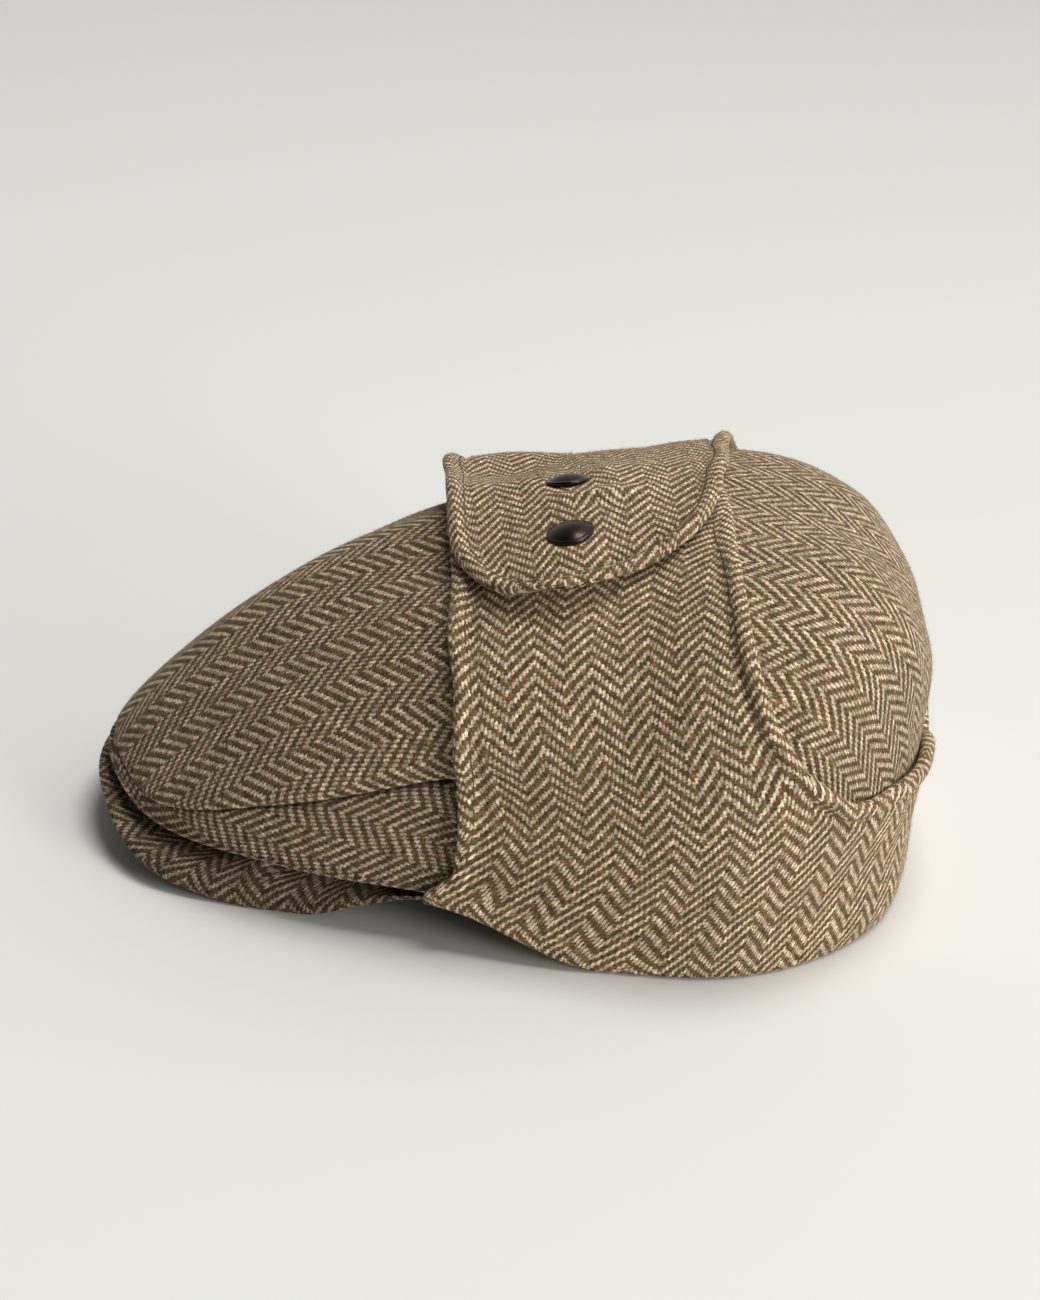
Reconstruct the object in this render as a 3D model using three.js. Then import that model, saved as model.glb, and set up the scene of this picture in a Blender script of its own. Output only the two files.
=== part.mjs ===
// Herringbone tweed cap with its earflaps turned up, crossed over the crown and snapped together.
// Millimetres, +Z up, resting on z = 0. The peak points to -Y and the wearer's left is +X.
import * as THREE from "three";
import { mergeVertices } from "three/addons/utils/BufferGeometryUtils.js";

// Driving sizes
const crownTop = 125;
const apexAlong = 51.4;
const crownCloth = 2;
const flapCloth = 2.6;
const gap = 0.6;
const seamGap = 0.4;
const peakThickness = 4.6;
const snapDiameter = 15;
const snapHeight = 3.2;

// The crown laid flat: a disc about the apex, with the shoulder line and the rim as two circles
const shoulderCircle = 120;
const rimCircle = 180;

// The crown's outside, one section per bearing seen from the apex: 0 is the front, 180 the back
const crownSections = [
  { bearing: 0, reach: 181.5, shoulder: 28, fullness: 0.85, rimReach: 181.5, rim: 25.5 },
  { bearing: 15, reach: 168.5, shoulder: 24, fullness: 0.85, rimReach: 169.5, rim: 16.5 },
  { bearing: 30, reach: 140, shoulder: 40, fullness: 0.8, rimReach: 139.5, rim: 16 },
  { bearing: 50, reach: 105.5, shoulder: 60, fullness: 0.64, rimReach: 107, rim: 17.8 },
  { bearing: 75, reach: 92.5, shoulder: 60, fullness: 0.54, rimReach: 90.5, rim: 3.6 },
  { bearing: 105, reach: 96, shoulder: 71.5, fullness: 0.35, rimReach: 88, rim: 3.1 },
  { bearing: 140, reach: 87.6, shoulder: 72.4, fullness: 0.33, rimReach: 80.5, rim: 3.1 },
  { bearing: 180, reach: 80.4, shoulder: 72.6, fullness: 0.52, rimReach: 71.5, rim: 4.4 },
];
const domeLevels = [0.1, 0.2, 0.3, 0.4, 0.5, 0.6, 0.7, 0.79, 0.87, 0.94, 1];
const wallShares = [0.2, 0.45, 0.72, 1];
const sideShares = [0, 0.33, 0.67, 1];

// Where the side panel's seam runs on the wall: 1 is the shoulder, 2 the rim
const seamSections = [
  { bearing: 0, level: 1.05 },
  { bearing: 42, level: 1.05 },
  { bearing: 48, level: 1.06 },
  { bearing: 54, level: 1.12 },
  { bearing: 60, level: 1.3 },
  { bearing: 66, level: 1.65 },
  { bearing: 72, level: 1.93 },
];
const highestSeam = 1.01;

// The peak: how far its edge stands beyond the rim, the edge's underside, and its depth under the crown
const peakSections = [
  { bearing: 0, beyond: 4, edge: 16, depth: 52 },
  { bearing: 8, beyond: 5.5, edge: 14.5, depth: 52 },
  { bearing: 14, beyond: 8, edge: 9, depth: 50 },
  { bearing: 20, beyond: 8.5, edge: 3.8, depth: 46 },
  { bearing: 25, beyond: 3, edge: 0.4, depth: 41 },
  { bearing: 31, beyond: -4.5, edge: 0, depth: 33 },
  { bearing: 37, beyond: -6, edge: 6.5, depth: 24 },
  { bearing: 46, beyond: -3, edge: 13.2, depth: 13 },
];
const peakSteps = 24;

// The peak's outer roll: its run, its least run, the gap up to the crown's rim and the turns of its section
const roll = { run: 14, least: 2, seat: 0.8, steepest: 0.55, turns: [0, 20, 38, 54, 68, 80, 90] };
const peakLip = peakThickness * 0.45;

// A flap over the crown, from its tip to the rim: its front edge and its rear hem on the flat disc
// across is to the flap's own side, along is to the back
const flapSections = [
  { edge: { across: -46.2, along: -32.4 }, hem: { across: -46.8, along: -24 } },
  { edge: { across: -42.2, along: -37.4 }, hem: { across: -45, along: -16.5 } },
  { edge: { across: -36.2, along: -39.4 }, hem: { across: -41.6, along: -8.8 } },
  { edge: { across: -21, along: -38 }, hem: { across: -30, along: 1.4 } },
  { edge: { across: 0, along: -31.5 }, hem: { across: 0, along: 8.9 } },
  { edge: { across: 20.4, along: -39.5 }, hem: { across: 35.3, along: 10.9 } },
  { edge: { across: 41.9, along: -49.8 }, hem: { across: 64.3, along: 15.1 } },
  { edge: { across: 64.2, along: -58.6 }, hem: { across: 81.4, along: 19.2 } },
  { edge: { across: 95.4, along: -75.4 }, hem: { across: 103, along: 29.4 } },
  { edge: { across: 122, along: -94.4 }, hem: { across: 110, along: 38.6 } },
  { edge: { across: 131, along: -104.5 }, hem: { across: 111.4, along: 43 } },
];

// The same strip goes on round the back as the turned-up band: the fold's bearing and the hem
const bandSections = [
  { fold: 48.5, hem: { across: 112, along: 47.6 } },
  { fold: 60, hem: { across: 112.7, along: 52.6 } },
  { fold: 75, hem: { across: 113, along: 58 } },
  { fold: 92, hem: { across: 112.8, along: 65.2 } },
  { fold: 108, hem: { across: 111.3, along: 75.4 } },
  { fold: 124, hem: { across: 104.8, along: 86.8 } },
  { fold: 140, hem: { across: 93.6, along: 99 } },
  { fold: 158, hem: { across: 60.7, along: 124.5 } },
  { fold: 179.8, hem: { across: 0.5, along: 145 } },
];

// How far the fold puffs out from the crown, by bearing
const puffSections = [
  { bearing: 0, puff: 1.5 },
  { bearing: 48, puff: 1.8 },
  { bearing: 62, puff: 2.8 },
  { bearing: 85, puff: 2.4 },
  { bearing: 120, puff: 2.5 },
  { bearing: 180, puff: 2.6 },
];
const puffWidth = 22;
const foldRound = 1.1;

// The inner leg of the fold, sewn inside the rim: its top above the rim, from the front corner on
const legSections = [
  { bearing: 48.5, rise: -0.8 },
  { bearing: 60, rise: 5.6 },
  { bearing: 67.5, rise: 8 },
];

// The turned hem: how much it stands proud at each distance from the flap's edge
const hemColumns = [
  { inset: 0, proud: -1.1 },
  { inset: 1.6, proud: 0.9 },
  { inset: 4.2, proud: 1.2 },
  { inset: 6.2, proud: -0.5 },
  { inset: 8.4, proud: 0 },
];
const middleColumns = 3;
const undersideColumns = 12;

// Near the tip the hems narrow with the flap: they are full where it is this many hems wide
const fullWidth = 2.6;
const narrowHem = 0.35;
const edgeRadius = 1;
const edgeTurns = [20, 45, 70, 90, 110, 130, 145, 160];

// The soft crease where the flap bends above the fold's front corner
const crease = { from: 44, to: 68, fadeIn: 6, fadeOut: 12, circle: 167, halfWidth: 9, depth: 1.1 };

// The right flap climbs over the left flap's tip between these places across the disc
const climb = { start: 66, end: 47 };
const climbHeight = flapCloth + 2 * gap;

// The left flap's hem is pressed flat where the right flap covers it
const cover = { start: 46, end: 30, hem: 0.25 };

// The snaps on the right flap, on the flat disc, and a cap's section in shares of its radius and height
const snaps = [
  { name: "snap_cap_lower", across: 25.2, along: -24.3 },
  { name: "snap_cap_upper", across: 4.4, along: -16 },
];
const snapSection = [
  { out: 0, up: 0 },
  { out: 0.88, up: 0 },
  { out: 1, up: 0.28 },
  { out: 0.95, up: 0.48 },
  { out: 0.72, up: 0.72 },
  { out: 0.4, up: 0.93 },
  { out: 0, up: 1 },
];
const snapSides = 20;

const bearingStep = 6;
const flapSteps = 3;
const bandSteps = 2;

const tweed = { color: 0x7d705a, roughness: 0.95, metalness: 0 };
const gunmetal = { color: 0x4a4642, roughness: 0.32, metalness: 1 };

const degrees = Math.PI / 180;
const mix = (from, to, share) => from + (to - from) * share;
const clamp01 = (value) => Math.min(1, Math.max(0, value));

function ease(value) {
  const share = clamp01(value);
  return share * share * (3 - 2 * share);
}

// A smooth curve through a table's column, the same on both sides and level at its two ends
function tableCurve(rows, key, column) {
  const at = rows.map((row) => row[key]);
  const value = rows.map((row) => row[column]);
  const last = rows.length - 1;
  const slope = value.map((here, i) => {
    if (i === 0 || i === last) return 0;
    const before = (here - value[i - 1]) / (at[i] - at[i - 1]);
    const after = (value[i + 1] - here) / (at[i + 1] - at[i]);
    const span = at[i + 1] - at[i - 1];
    return (before * (at[i + 1] - at[i]) + after * (at[i] - at[i - 1])) / span;
  });
  return (place) => {
    const turned = Math.abs(THREE.MathUtils.euclideanModulo(place + 180, 360) - 180);
    const x = Math.min(at[last], Math.max(at[0], turned));
    const i = Math.min(last - 1, at.findLastIndex((knot) => knot <= x));
    const width = at[i + 1] - at[i];
    const t = (x - at[i]) / width;
    const rise = (1 + 2 * t) * (1 - t) ** 2 * value[i] + t * t * (3 - 2 * t) * value[i + 1];
    return rise + width * (t * (1 - t) ** 2 * slope[i] - t * t * (1 - t) * slope[i + 1]);
  };
}

const crownReach = tableCurve(crownSections, "bearing", "reach");
const shoulderHeight = tableCurve(crownSections, "bearing", "shoulder");
const domeFullness = tableCurve(crownSections, "bearing", "fullness");
const rimReach = tableCurve(crownSections, "bearing", "rimReach");
const rimCurve = tableCurve(crownSections, "bearing", "rim");
const seamLevel = tableCurve(seamSections, "bearing", "level");
const foldPuff = tableCurve(puffSections, "bearing", "puff");
const legRise = tableCurve(legSections, "bearing", "rise");

// The rim never comes nearer the table than the fold that lies under it
const rimHeight = (bearing) => Math.max(gap + flapCloth, rimCurve(bearing));

const atBearing = (bearing, reach, height) =>
  new THREE.Vector3(
    reach * Math.sin(bearing * degrees),
    apexAlong - reach * Math.cos(bearing * degrees),
    height,
  );

// A point on the crown, raised by lift: level 0 is the apex, 1 the shoulder and 2 the rim
function crownPoint(bearing, level, lift) {
  const reach = crownReach(bearing);
  const shoulder = shoulderHeight(bearing);
  if (level <= 1) {
    const turn = (level * Math.PI) / 2;
    const rise = Math.cos(turn) ** (2 * domeFullness(bearing));
    const height = shoulder + (crownTop + lift - shoulder) * rise;
    return atBearing(bearing, (reach + lift) * Math.sin(turn), height);
  }
  const drop = level - 1;
  const height = mix(shoulder, rimHeight(bearing), drop);
  return atBearing(bearing, mix(reach, rimReach(bearing), drop * drop) + lift, height);
}

// The same, from a place on the flat disc
const circleOf = (place) => Math.hypot(place.across, place.along);
const bearingOf = (place) => Math.atan2(place.across, -place.along) / degrees;
const onTop = (place) => circleOf(place) < shoulderCircle;

function patternPoint(place, lift) {
  const circle = circleOf(place);
  const wallShare = (circle - shoulderCircle) / (rimCircle - shoulderCircle);
  const level = onTop(place) ? circle / shoulderCircle : 1 + wallShare;
  return crownPoint(bearingOf(place), level, lift);
}

const onRim = (bearing) => ({
  across: rimCircle * Math.sin(bearing * degrees),
  along: -rimCircle * Math.cos(bearing * degrees),
});

const lerpPlace = (from, to, share) => ({
  across: mix(from.across, to.across, share),
  along: mix(from.along, to.along, share),
});

function solidFrom(points, index) {
  const geometry = new THREE.BufferGeometry().setFromPoints(points).setIndex(index);
  return mergeVertices(geometry, 1e-4);
}

const quad = (a, b, c, d) => [a, b, c, a, c, d];

// The triangles that close a loop, found on the plane that it lies in
function endCap(loop) {
  const normal = new THREE.Vector3();
  loop.forEach((here, i) => {
    const next = loop[(i + 1) % loop.length];
    normal.add(here.clone().sub(loop[0]).cross(next.clone().sub(loop[0])));
  });
  normal.normalize();
  const right = loop[Math.floor(loop.length / 2)].clone().sub(loop[0]);
  right.addScaledVector(normal, -right.dot(normal)).normalize();
  const up = normal.clone().cross(right);
  const flat = loop.map((point) => new THREE.Vector2(point.dot(right), point.dot(up)));
  return THREE.ShapeUtils.triangulateShape(flat, []);
}

// A closed solid between loops of points, each with the same count, capped at both ends
function loft(loops) {
  const count = loops[0].length;
  const index = [];
  for (let i = 0; i + 1 < loops.length; i++) {
    for (let j = 0; j < count; j++) {
      const here = i * count + j;
      const next = i * count + ((j + 1) % count);
      index.push(...quad(here, next, next + count, here + count));
    }
  }
  const lastStart = (loops.length - 1) * count;
  endCap(loops[0]).forEach(([a, b, c]) => index.push(a, c, b));
  endCap(loops.at(-1)).forEach((face) => index.push(...face.map((corner) => lastStart + corner)));
  return solidFrom(loops.flat(), index);
}

function mirrored(geometry) {
  const copy = geometry.clone().scale(-1, 1, 1);
  const index = copy.index.array;
  for (let i = 0; i < index.length; i += 3) {
    [index[i + 1], index[i + 2]] = [index[i + 2], index[i + 1]];
  }
  return copy;
}

// Half the seam's gap, as a share of the wall at this bearing
const halfSeam = (bearing) => seamGap / 2 / (shoulderHeight(bearing) - rimHeight(bearing));

// The top panel: a shell from the apex down to the side panels' seam, and to the rim behind them
function crownTopGeometry() {
  const bearings = [];
  for (let bearing = 0; bearing < 360; bearing += bearingStep) bearings.push(bearing);
  const lastSeam = seamSections.at(-1).bearing;
  const endLevel = (bearing) => {
    if (Math.min(bearing, 360 - bearing) > lastSeam) return 2;
    return Math.max(highestSeam, seamLevel(bearing) - halfSeam(bearing));
  };
  const levelsAt = (bearing) => [
    ...domeLevels,
    ...wallShares.map((share) => mix(1, endLevel(bearing), share)),
  ];
  const points = [crownPoint(0, 0, 0), crownPoint(0, 0, -crownCloth)];
  for (const lift of [0, -crownCloth]) {
    bearings.forEach((bearing) => {
      levelsAt(bearing).forEach((level) => points.push(crownPoint(bearing, level, lift)));
    });
  }
  const rows = domeLevels.length + wallShares.length;
  const apexes = 2;
  const outer = (i, row) => apexes + (i % bearings.length) * rows + row;
  const inner = (i, row) => outer(i, row) + bearings.length * rows;
  const index = [];
  bearings.forEach((bearing, i) => {
    const next = i + 1;
    index.push(0, outer(i, 0), outer(next, 0));
    index.push(1, inner(next, 0), inner(i, 0));
    for (let row = 0; row + 1 < rows; row++) {
      index.push(...quad(outer(i, row), outer(i, row + 1), outer(next, row + 1), outer(next, row)));
      index.push(...quad(inner(i, row), inner(next, row), inner(next, row + 1), inner(i, row + 1)));
    }
    const foot = rows - 1;
    index.push(...quad(outer(i, foot), inner(i, foot), inner(next, foot), outer(next, foot)));
  });
  return solidFrom(points, index);
}

// A side panel: a crescent of wall between the seam and the rim, from the front centre
function crownSideGeometry() {
  const first = seamGap / 2 / crownReach(0) / degrees;
  const loops = [];
  for (let bearing = 0; bearing <= seamSections.at(-1).bearing; bearing += bearingStep) {
    const here = Math.max(first, bearing);
    const start = seamLevel(here) + halfSeam(here);
    const wall = (lift) => sideShares.map((share) => crownPoint(here, mix(start, 2, share), lift));
    loops.push([...wall(0), ...wall(-crownCloth).reverse()]);
  }
  return loft(loops);
}

// The peak: under the crown it is flat, and past the rim it rolls down to its edge
function peakGeometry() {
  const beyond = tableCurve(peakSections, "bearing", "beyond");
  const edgeCurve = tableCurve(peakSections, "bearing", "edge");
  const depth = tableCurve(peakSections, "bearing", "depth");
  const last = peakSections.at(-1).bearing;
  const loops = [];
  for (let i = 0; i <= peakSteps; i++) {
    const bearing = mix(-last, last, i / peakSteps);
    const rim = rimReach(bearing);
    const edge = Math.max(0, edgeCurve(bearing));
    const tip = rim + beyond(bearing);
    const inner = rim - depth(bearing);
    const start = Math.max(inner + roll.least, Math.min(rim, tip) - roll.run);
    const low = edge + peakLip;
    const high = rimHeight(bearing) - roll.seat;
    const underRim = clamp01((rim - crownCloth - gap / 2 - start) / (tip - start));
    const seatShare = Math.max(roll.steepest, Math.sqrt(1 - underRim * underRim));
    const top = tip > rim ? low + (high - low) / seatShare : high;
    const upper = [{ reach: inner, height: top, turn: 0 }];
    roll.turns.forEach((turning) => {
      const turn = turning * degrees;
      const reach = mix(start, tip, Math.sin(turn));
      upper.push({ reach, height: mix(low, top, Math.cos(turn)), turn });
    });
    const lower = upper.map(({ reach, height, turn }) => ({
      reach: reach - peakThickness * Math.sin(turn),
      height: Math.max(edge, height - peakThickness * Math.cos(turn)),
    }));
    lower.at(-2).height = edge;
    lower.splice(-1, 1, { reach: tip - peakThickness / 2, height: edge });
    const place = ({ reach, height }) => atBearing(bearing, reach, height);
    loops.push([...upper.map(place), ...lower.reverse().map(place)]);
  }
  return loft(loops);
}

// A smooth line through places on the flat disc
function placeCurve(places) {
  const line = places.map(({ across, along }) => new THREE.Vector3(across, along, 0));
  const curve = new THREE.CatmullRomCurve3(line);
  return (share) => {
    const point = curve.getPoint(share);
    return { across: point.x, along: point.y };
  };
}

// A flap's rows, each from its rear hem to its front edge or its fold
function flapRows() {
  const folds = bandSections.map((row) => ({ ...row, edge: onRim(row.fold) }));
  const knots = [...flapSections, ...folds];
  const edgeCurve = placeCurve(knots.map((knot) => knot.edge));
  const hemCurve = placeCurve(knots.map((knot) => knot.hem));
  const rows = [];
  knots.slice(0, -1).forEach((knot, i) => {
    const folded = "fold" in knot;
    const steps = folded ? bandSteps : flapSteps;
    for (let step = 0; step < steps; step++) {
      const share = step / steps;
      const at = (i + share) / (knots.length - 1);
      const fold = folded ? mix(knot.fold, knots[i + 1].fold, share) : null;
      rows.push({ edge: folded ? onRim(fold) : edgeCurve(at), hem: hemCurve(at), fold });
    }
  });
  rows.push(folds.at(-1));
  return rows;
}

// How far a place on the flap is pressed in by the crease
function creaseDepth(place) {
  const bearing = bearingOf(place);
  const fadeIn = ease((bearing - crease.from) / crease.fadeIn);
  const fadeOut = ease((crease.to - bearing) / crease.fadeOut);
  const across = (circleOf(place) - crease.circle) / crease.halfWidth;
  return crease.depth * fadeIn * fadeOut * Math.max(0, 1 - across * across);
}

// The upper side's columns from the hem to the edge, each with how much it stands proud
function flapColumns(length, hemStrength, folded) {
  const hemWidth = hemColumns.at(-1).inset;
  const shrink = Math.min(1, length / (fullWidth * hemWidth));
  const strength = hemStrength * mix(narrowHem, 1, shrink);
  const hem = hemColumns.map(({ inset, proud }) => ({ inset: inset * shrink, proud: proud * strength }));
  const middle = [];
  for (let i = 1; i <= middleColumns; i++) {
    const share = i / (middleColumns + 1);
    middle.push({ inset: mix(hemWidth * shrink, length - hemWidth * shrink, share), proud: 0 });
  }
  const edge = hem.map(({ inset, proud }) => ({ inset: length - inset, proud: folded ? 0 : proud }));
  return [...hem, ...middle, ...edge.reverse()];
}

// One flap on the wearer's left: lowest is how high it lies on the crown, hemStrength how full its hem is
function flapGeometry({ lowest, hemStrength }) {
  const loops = flapRows().map(({ edge, hem, fold }) => {
    const folded = fold !== null;
    const length = Math.hypot(edge.across - hem.across, edge.along - hem.along);
    const puff = folded ? foldPuff(fold) : 0;
    const at = (inset) => lerpPlace(hem, edge, inset / length);
    const bottom = (inset) => lowest(at(inset)) + puff * ease(1 - (length - inset) / puffWidth);
    const top = flapColumns(length, hemStrength(hem), folded).map(({ inset, proud }) => {
      const lift = bottom(inset) + flapCloth + proud - creaseDepth(at(inset));
      return patternPoint(at(inset), lift);
    });
    const under = [];
    for (let i = undersideColumns - 1; i >= 0; i--) {
      const inset = (length * i) / (undersideColumns - 1);
      under.push(patternPoint(at(inset), bottom(inset)));
    }
    const turn = folded ? foldTurn(fold, puff) : edgeTurn(edge, hem, length, lowest);
    return [...top, ...turn, ...under];
  });
  return loft(loops);
}

// The rounded end of the flap's front edge
function edgeTurn(edge, hem, length, lowest) {
  return edgeTurns.map((turning) => {
    const turn = turning * degrees;
    const reach = 1 + (edgeRadius * Math.sin(turn)) / length;
    const lift = lowest(edge) + edgeRadius + edgeRadius * Math.cos(turn);
    return patternPoint(lerpPlace(hem, edge, reach), lift);
  });
}

// The fold under the rim, flat where it lies on the table, and its leg inside the rim
function foldTurn(bearing, puff) {
  const rim = rimReach(bearing);
  const height = rimHeight(bearing);
  const under = height - gap;
  const floor = under - flapCloth;
  const outside = rim + gap + flapCloth + puff;
  const legFace = rim - crownCloth - gap;
  const inside = legFace - flapCloth;
  const legTop = height + legRise(bearing);
  return [
    { reach: outside - foldRound * 0.3, height: floor + foldRound },
    { reach: outside - foldRound, height: floor },
    { reach: inside + foldRound, height: floor },
    { reach: inside, height: Math.min(legTop, floor + foldRound) },
    { reach: inside, height: legTop },
    { reach: legFace, height: legTop },
    { reach: legFace, height: under },
    { reach: rim + gap + puff, height: under },
  ].map((corner) => atBearing(bearing, corner.reach, corner.height));
}

function leftFlapGeometry() {
  const covered = (hem) =>
    onTop(hem) ? ease((cover.start - hem.across) / (cover.start - cover.end)) : 0;
  return flapGeometry({
    lowest: () => gap,
    hemStrength: (hem) => mix(1, cover.hem, covered(hem)),
  });
}

function rightFlapGeometry() {
  const climbed = (place) =>
    onTop(place) ? ease((climb.start - place.across) / (climb.start - climb.end)) : 0;
  const geometry = flapGeometry({
    lowest: (place) => gap + climbHeight * climbed(place),
    hemStrength: () => 1,
  });
  return mirrored(geometry);
}

function snapGeometry() {
  const toCorner = ({ out, up }) => new THREE.Vector2((out * snapDiameter) / 2, up * snapHeight);
  const geometry = new THREE.LatheGeometry(snapSection.map(toCorner), snapSides);
  geometry.deleteAttribute("normal");
  geometry.deleteAttribute("uv");
  return mergeVertices(geometry, 1e-4).rotateX(Math.PI / 2);
}

function addMesh(group, name, geometry, finish) {
  const mesh = new THREE.Mesh(geometry, new THREE.MeshStandardMaterial(finish));
  mesh.name = name;
  mesh.geometry.computeVertexNormals();
  group.add(mesh);
  return mesh;
}

// A snap stands on the right flap, square to the cloth under it
function placeSnap(mesh, { across, along }) {
  const onFlap = (side, back) =>
    patternPoint({ across: across + side, along: along + back }, gap + climbHeight + flapCloth);
  const probe = snapDiameter / 3;
  const sideways = onFlap(probe, 0).sub(onFlap(-probe, 0));
  const backwards = onFlap(0, probe).sub(onFlap(0, -probe));
  const up = sideways.cross(backwards).normalize();
  mesh.quaternion.setFromUnitVectors(new THREE.Vector3(0, 0, 1), up);
  mesh.position.copy(onFlap(0, 0)).addScaledVector(up, gap / 2);
}

const cap = new THREE.Group();
addMesh(cap, "crown_top", crownTopGeometry(), tweed);
const sidePanel = crownSideGeometry();
addMesh(cap, "crown_side_left", sidePanel, tweed);
addMesh(cap, "crown_side_right", mirrored(sidePanel), tweed);
addMesh(cap, "peak", peakGeometry(), tweed);
addMesh(cap, "ear_flap_left", leftFlapGeometry(), tweed);
addMesh(cap, "ear_flap_right", rightFlapGeometry(), tweed);
snaps.forEach((snap) => placeSnap(addMesh(cap, snap.name, snapGeometry(), gunmetal), snap));

export default cap;
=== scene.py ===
# Herringbone tweed cap, its earflaps crossed over the crown and snapped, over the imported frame
# Shapes are worked out in millimetres: +Z is up, the peak points to -Y, the wearer's left is +X
import math
from functools import partial

import bmesh
import bpy
import numpy as np
from mathutils import Matrix, Vector, kdtree


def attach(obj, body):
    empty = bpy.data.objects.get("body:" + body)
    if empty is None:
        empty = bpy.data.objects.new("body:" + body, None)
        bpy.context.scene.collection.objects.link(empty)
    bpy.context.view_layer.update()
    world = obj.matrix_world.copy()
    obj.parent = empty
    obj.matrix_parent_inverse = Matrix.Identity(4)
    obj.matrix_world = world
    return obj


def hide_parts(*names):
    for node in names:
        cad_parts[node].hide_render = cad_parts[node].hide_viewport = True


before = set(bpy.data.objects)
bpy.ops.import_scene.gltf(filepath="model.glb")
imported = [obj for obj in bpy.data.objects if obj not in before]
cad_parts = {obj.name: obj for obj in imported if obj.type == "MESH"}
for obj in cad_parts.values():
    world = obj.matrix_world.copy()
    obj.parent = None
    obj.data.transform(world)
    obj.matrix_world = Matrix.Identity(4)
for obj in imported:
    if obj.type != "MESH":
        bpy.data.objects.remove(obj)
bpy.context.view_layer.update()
scene = bpy.context.scene
mm = 0.001
clothUnit = 0.1  # the weave's own map is in centimetres
print("frame:", len(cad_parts), "nodes")


def addObject(name, data):
    made = bpy.data.objects.new(name, data)
    scene.collection.objects.link(made)
    return made


# Camera at the photograph's angle
cameraView = {
    "elevation": 25,  # degrees
    "roll": 3.5,
    "distance": 1.1,  # metres
    "aimAlong": 0.00094,
    "aimUp": 0.0579,
    "lens": 92.2,
    "sensor": 36,
}


def makeCamera(view):
    elevation = math.radians(view["elevation"])
    roll = math.radians(view["roll"])
    right = Vector((0, 1, 0))
    up = Vector((-math.sin(elevation), 0, math.cos(elevation)))
    back = Vector((math.cos(elevation), 0, math.sin(elevation)))
    data = bpy.data.cameras.new("camera")
    data.lens = view["lens"]
    data.sensor_width = view["sensor"]
    camera = addObject("camera", data)
    axes = (
        math.cos(roll) * right + math.sin(roll) * up,
        math.cos(roll) * up - math.sin(roll) * right,
        back,
    )
    place = view["aimAlong"] * right + view["aimUp"] * up + view["distance"] * back
    camera.matrix_world = Matrix.Translation(place) @ Matrix(axes).transposed().to_4x4()
    scene.camera = camera


makeCamera(cameraView)

# Shared cloth shapes
capSizes = {
    "top": 125,
    "apexAlong": 51.4,
    "crownCloth": 2,
    "flapCloth": 2.6,
    "gap": 0.6,
    "shoulderCircle": 120,  # the crown laid flat: shoulder and rim are circles about the apex
    "rimCircle": 180,
    "pressed": 1.6,  # the snapped flaps press the crown's top in
    "pressedLevel": 0.33,
    "napFrom": 3,  # no fibres where the cap lies on the floor
}
crownTable = {
    "bearing": (0, 15, 30, 50, 75, 105, 140, 180),  # 0 is the front, 180 the back
    "reach": (181.5, 168.5, 140, 105.5, 92.5, 96, 87.6, 80.4),
    "shoulder": (28, 24, 40, 60, 60, 71.5, 72.4, 72.6),
    "fullness": (0.85, 0.85, 0.8, 0.64, 0.54, 0.35, 0.33, 0.52),
    "rimReach": (181.5, 169.5, 139.5, 107, 90.5, 88, 80.5, 71.5),
    "rim": (25.5, 19, 19, 18.4, 3.6, 3.1, 3.1, 4.4),
}
gap = capSizes["gap"]
crownCloth = capSizes["crownCloth"]
flapCloth = capSizes["flapCloth"]


def ease(value):
    share = np.clip(value, 0, 1)
    return share * share * (3 - 2 * share)


# Rises smoothly from 0 at start to 1 at end
def fade(value, start, end):
    return ease((value - start) / (end - start))


def mix(start, end, share):
    return start + (end - start) * share


# A smooth curve through a table's column, the same on both sides and level at its ends
def tableCurve(table, column, key="bearing"):
    at = np.array(table[key], float)
    value = np.array(table[column], float)
    step = np.diff(at)
    rise = np.diff(value) / step
    slope = np.zeros(len(at))
    slope[1:-1] = (rise[:-1] * step[1:] + rise[1:] * step[:-1]) / (step[1:] + step[:-1])

    def curve(place):
        x = np.clip(np.abs((np.asarray(place, float) + 180) % 360 - 180), at[0], at[-1])
        i = np.clip(np.searchsorted(at, x, side="right") - 1, 0, len(at) - 2)
        t = (x - at[i]) / step[i]
        level = (1 + 2 * t) * (1 - t) ** 2 * value[i] + t * t * (3 - 2 * t) * value[i + 1]
        return level + step[i] * (t * (1 - t) ** 2 * slope[i] - t * t * (1 - t) * slope[i + 1])

    return curve


crownReach = tableCurve(crownTable, "reach")
shoulderHeight = tableCurve(crownTable, "shoulder")
domeFullness = tableCurve(crownTable, "fullness")
rimReach = tableCurve(crownTable, "rimReach")
rimCurve = tableCurve(crownTable, "rim")


def rimHeight(bearing):
    return np.maximum(gap + flapCloth, rimCurve(bearing))


def atBearing(bearing, reach, height):
    turn = np.radians(bearing)
    parts = (reach * np.sin(turn), capSizes["apexAlong"] - reach * np.cos(turn), height)
    return np.stack(np.broadcast_arrays(*parts), axis=-1).astype(float)


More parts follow.
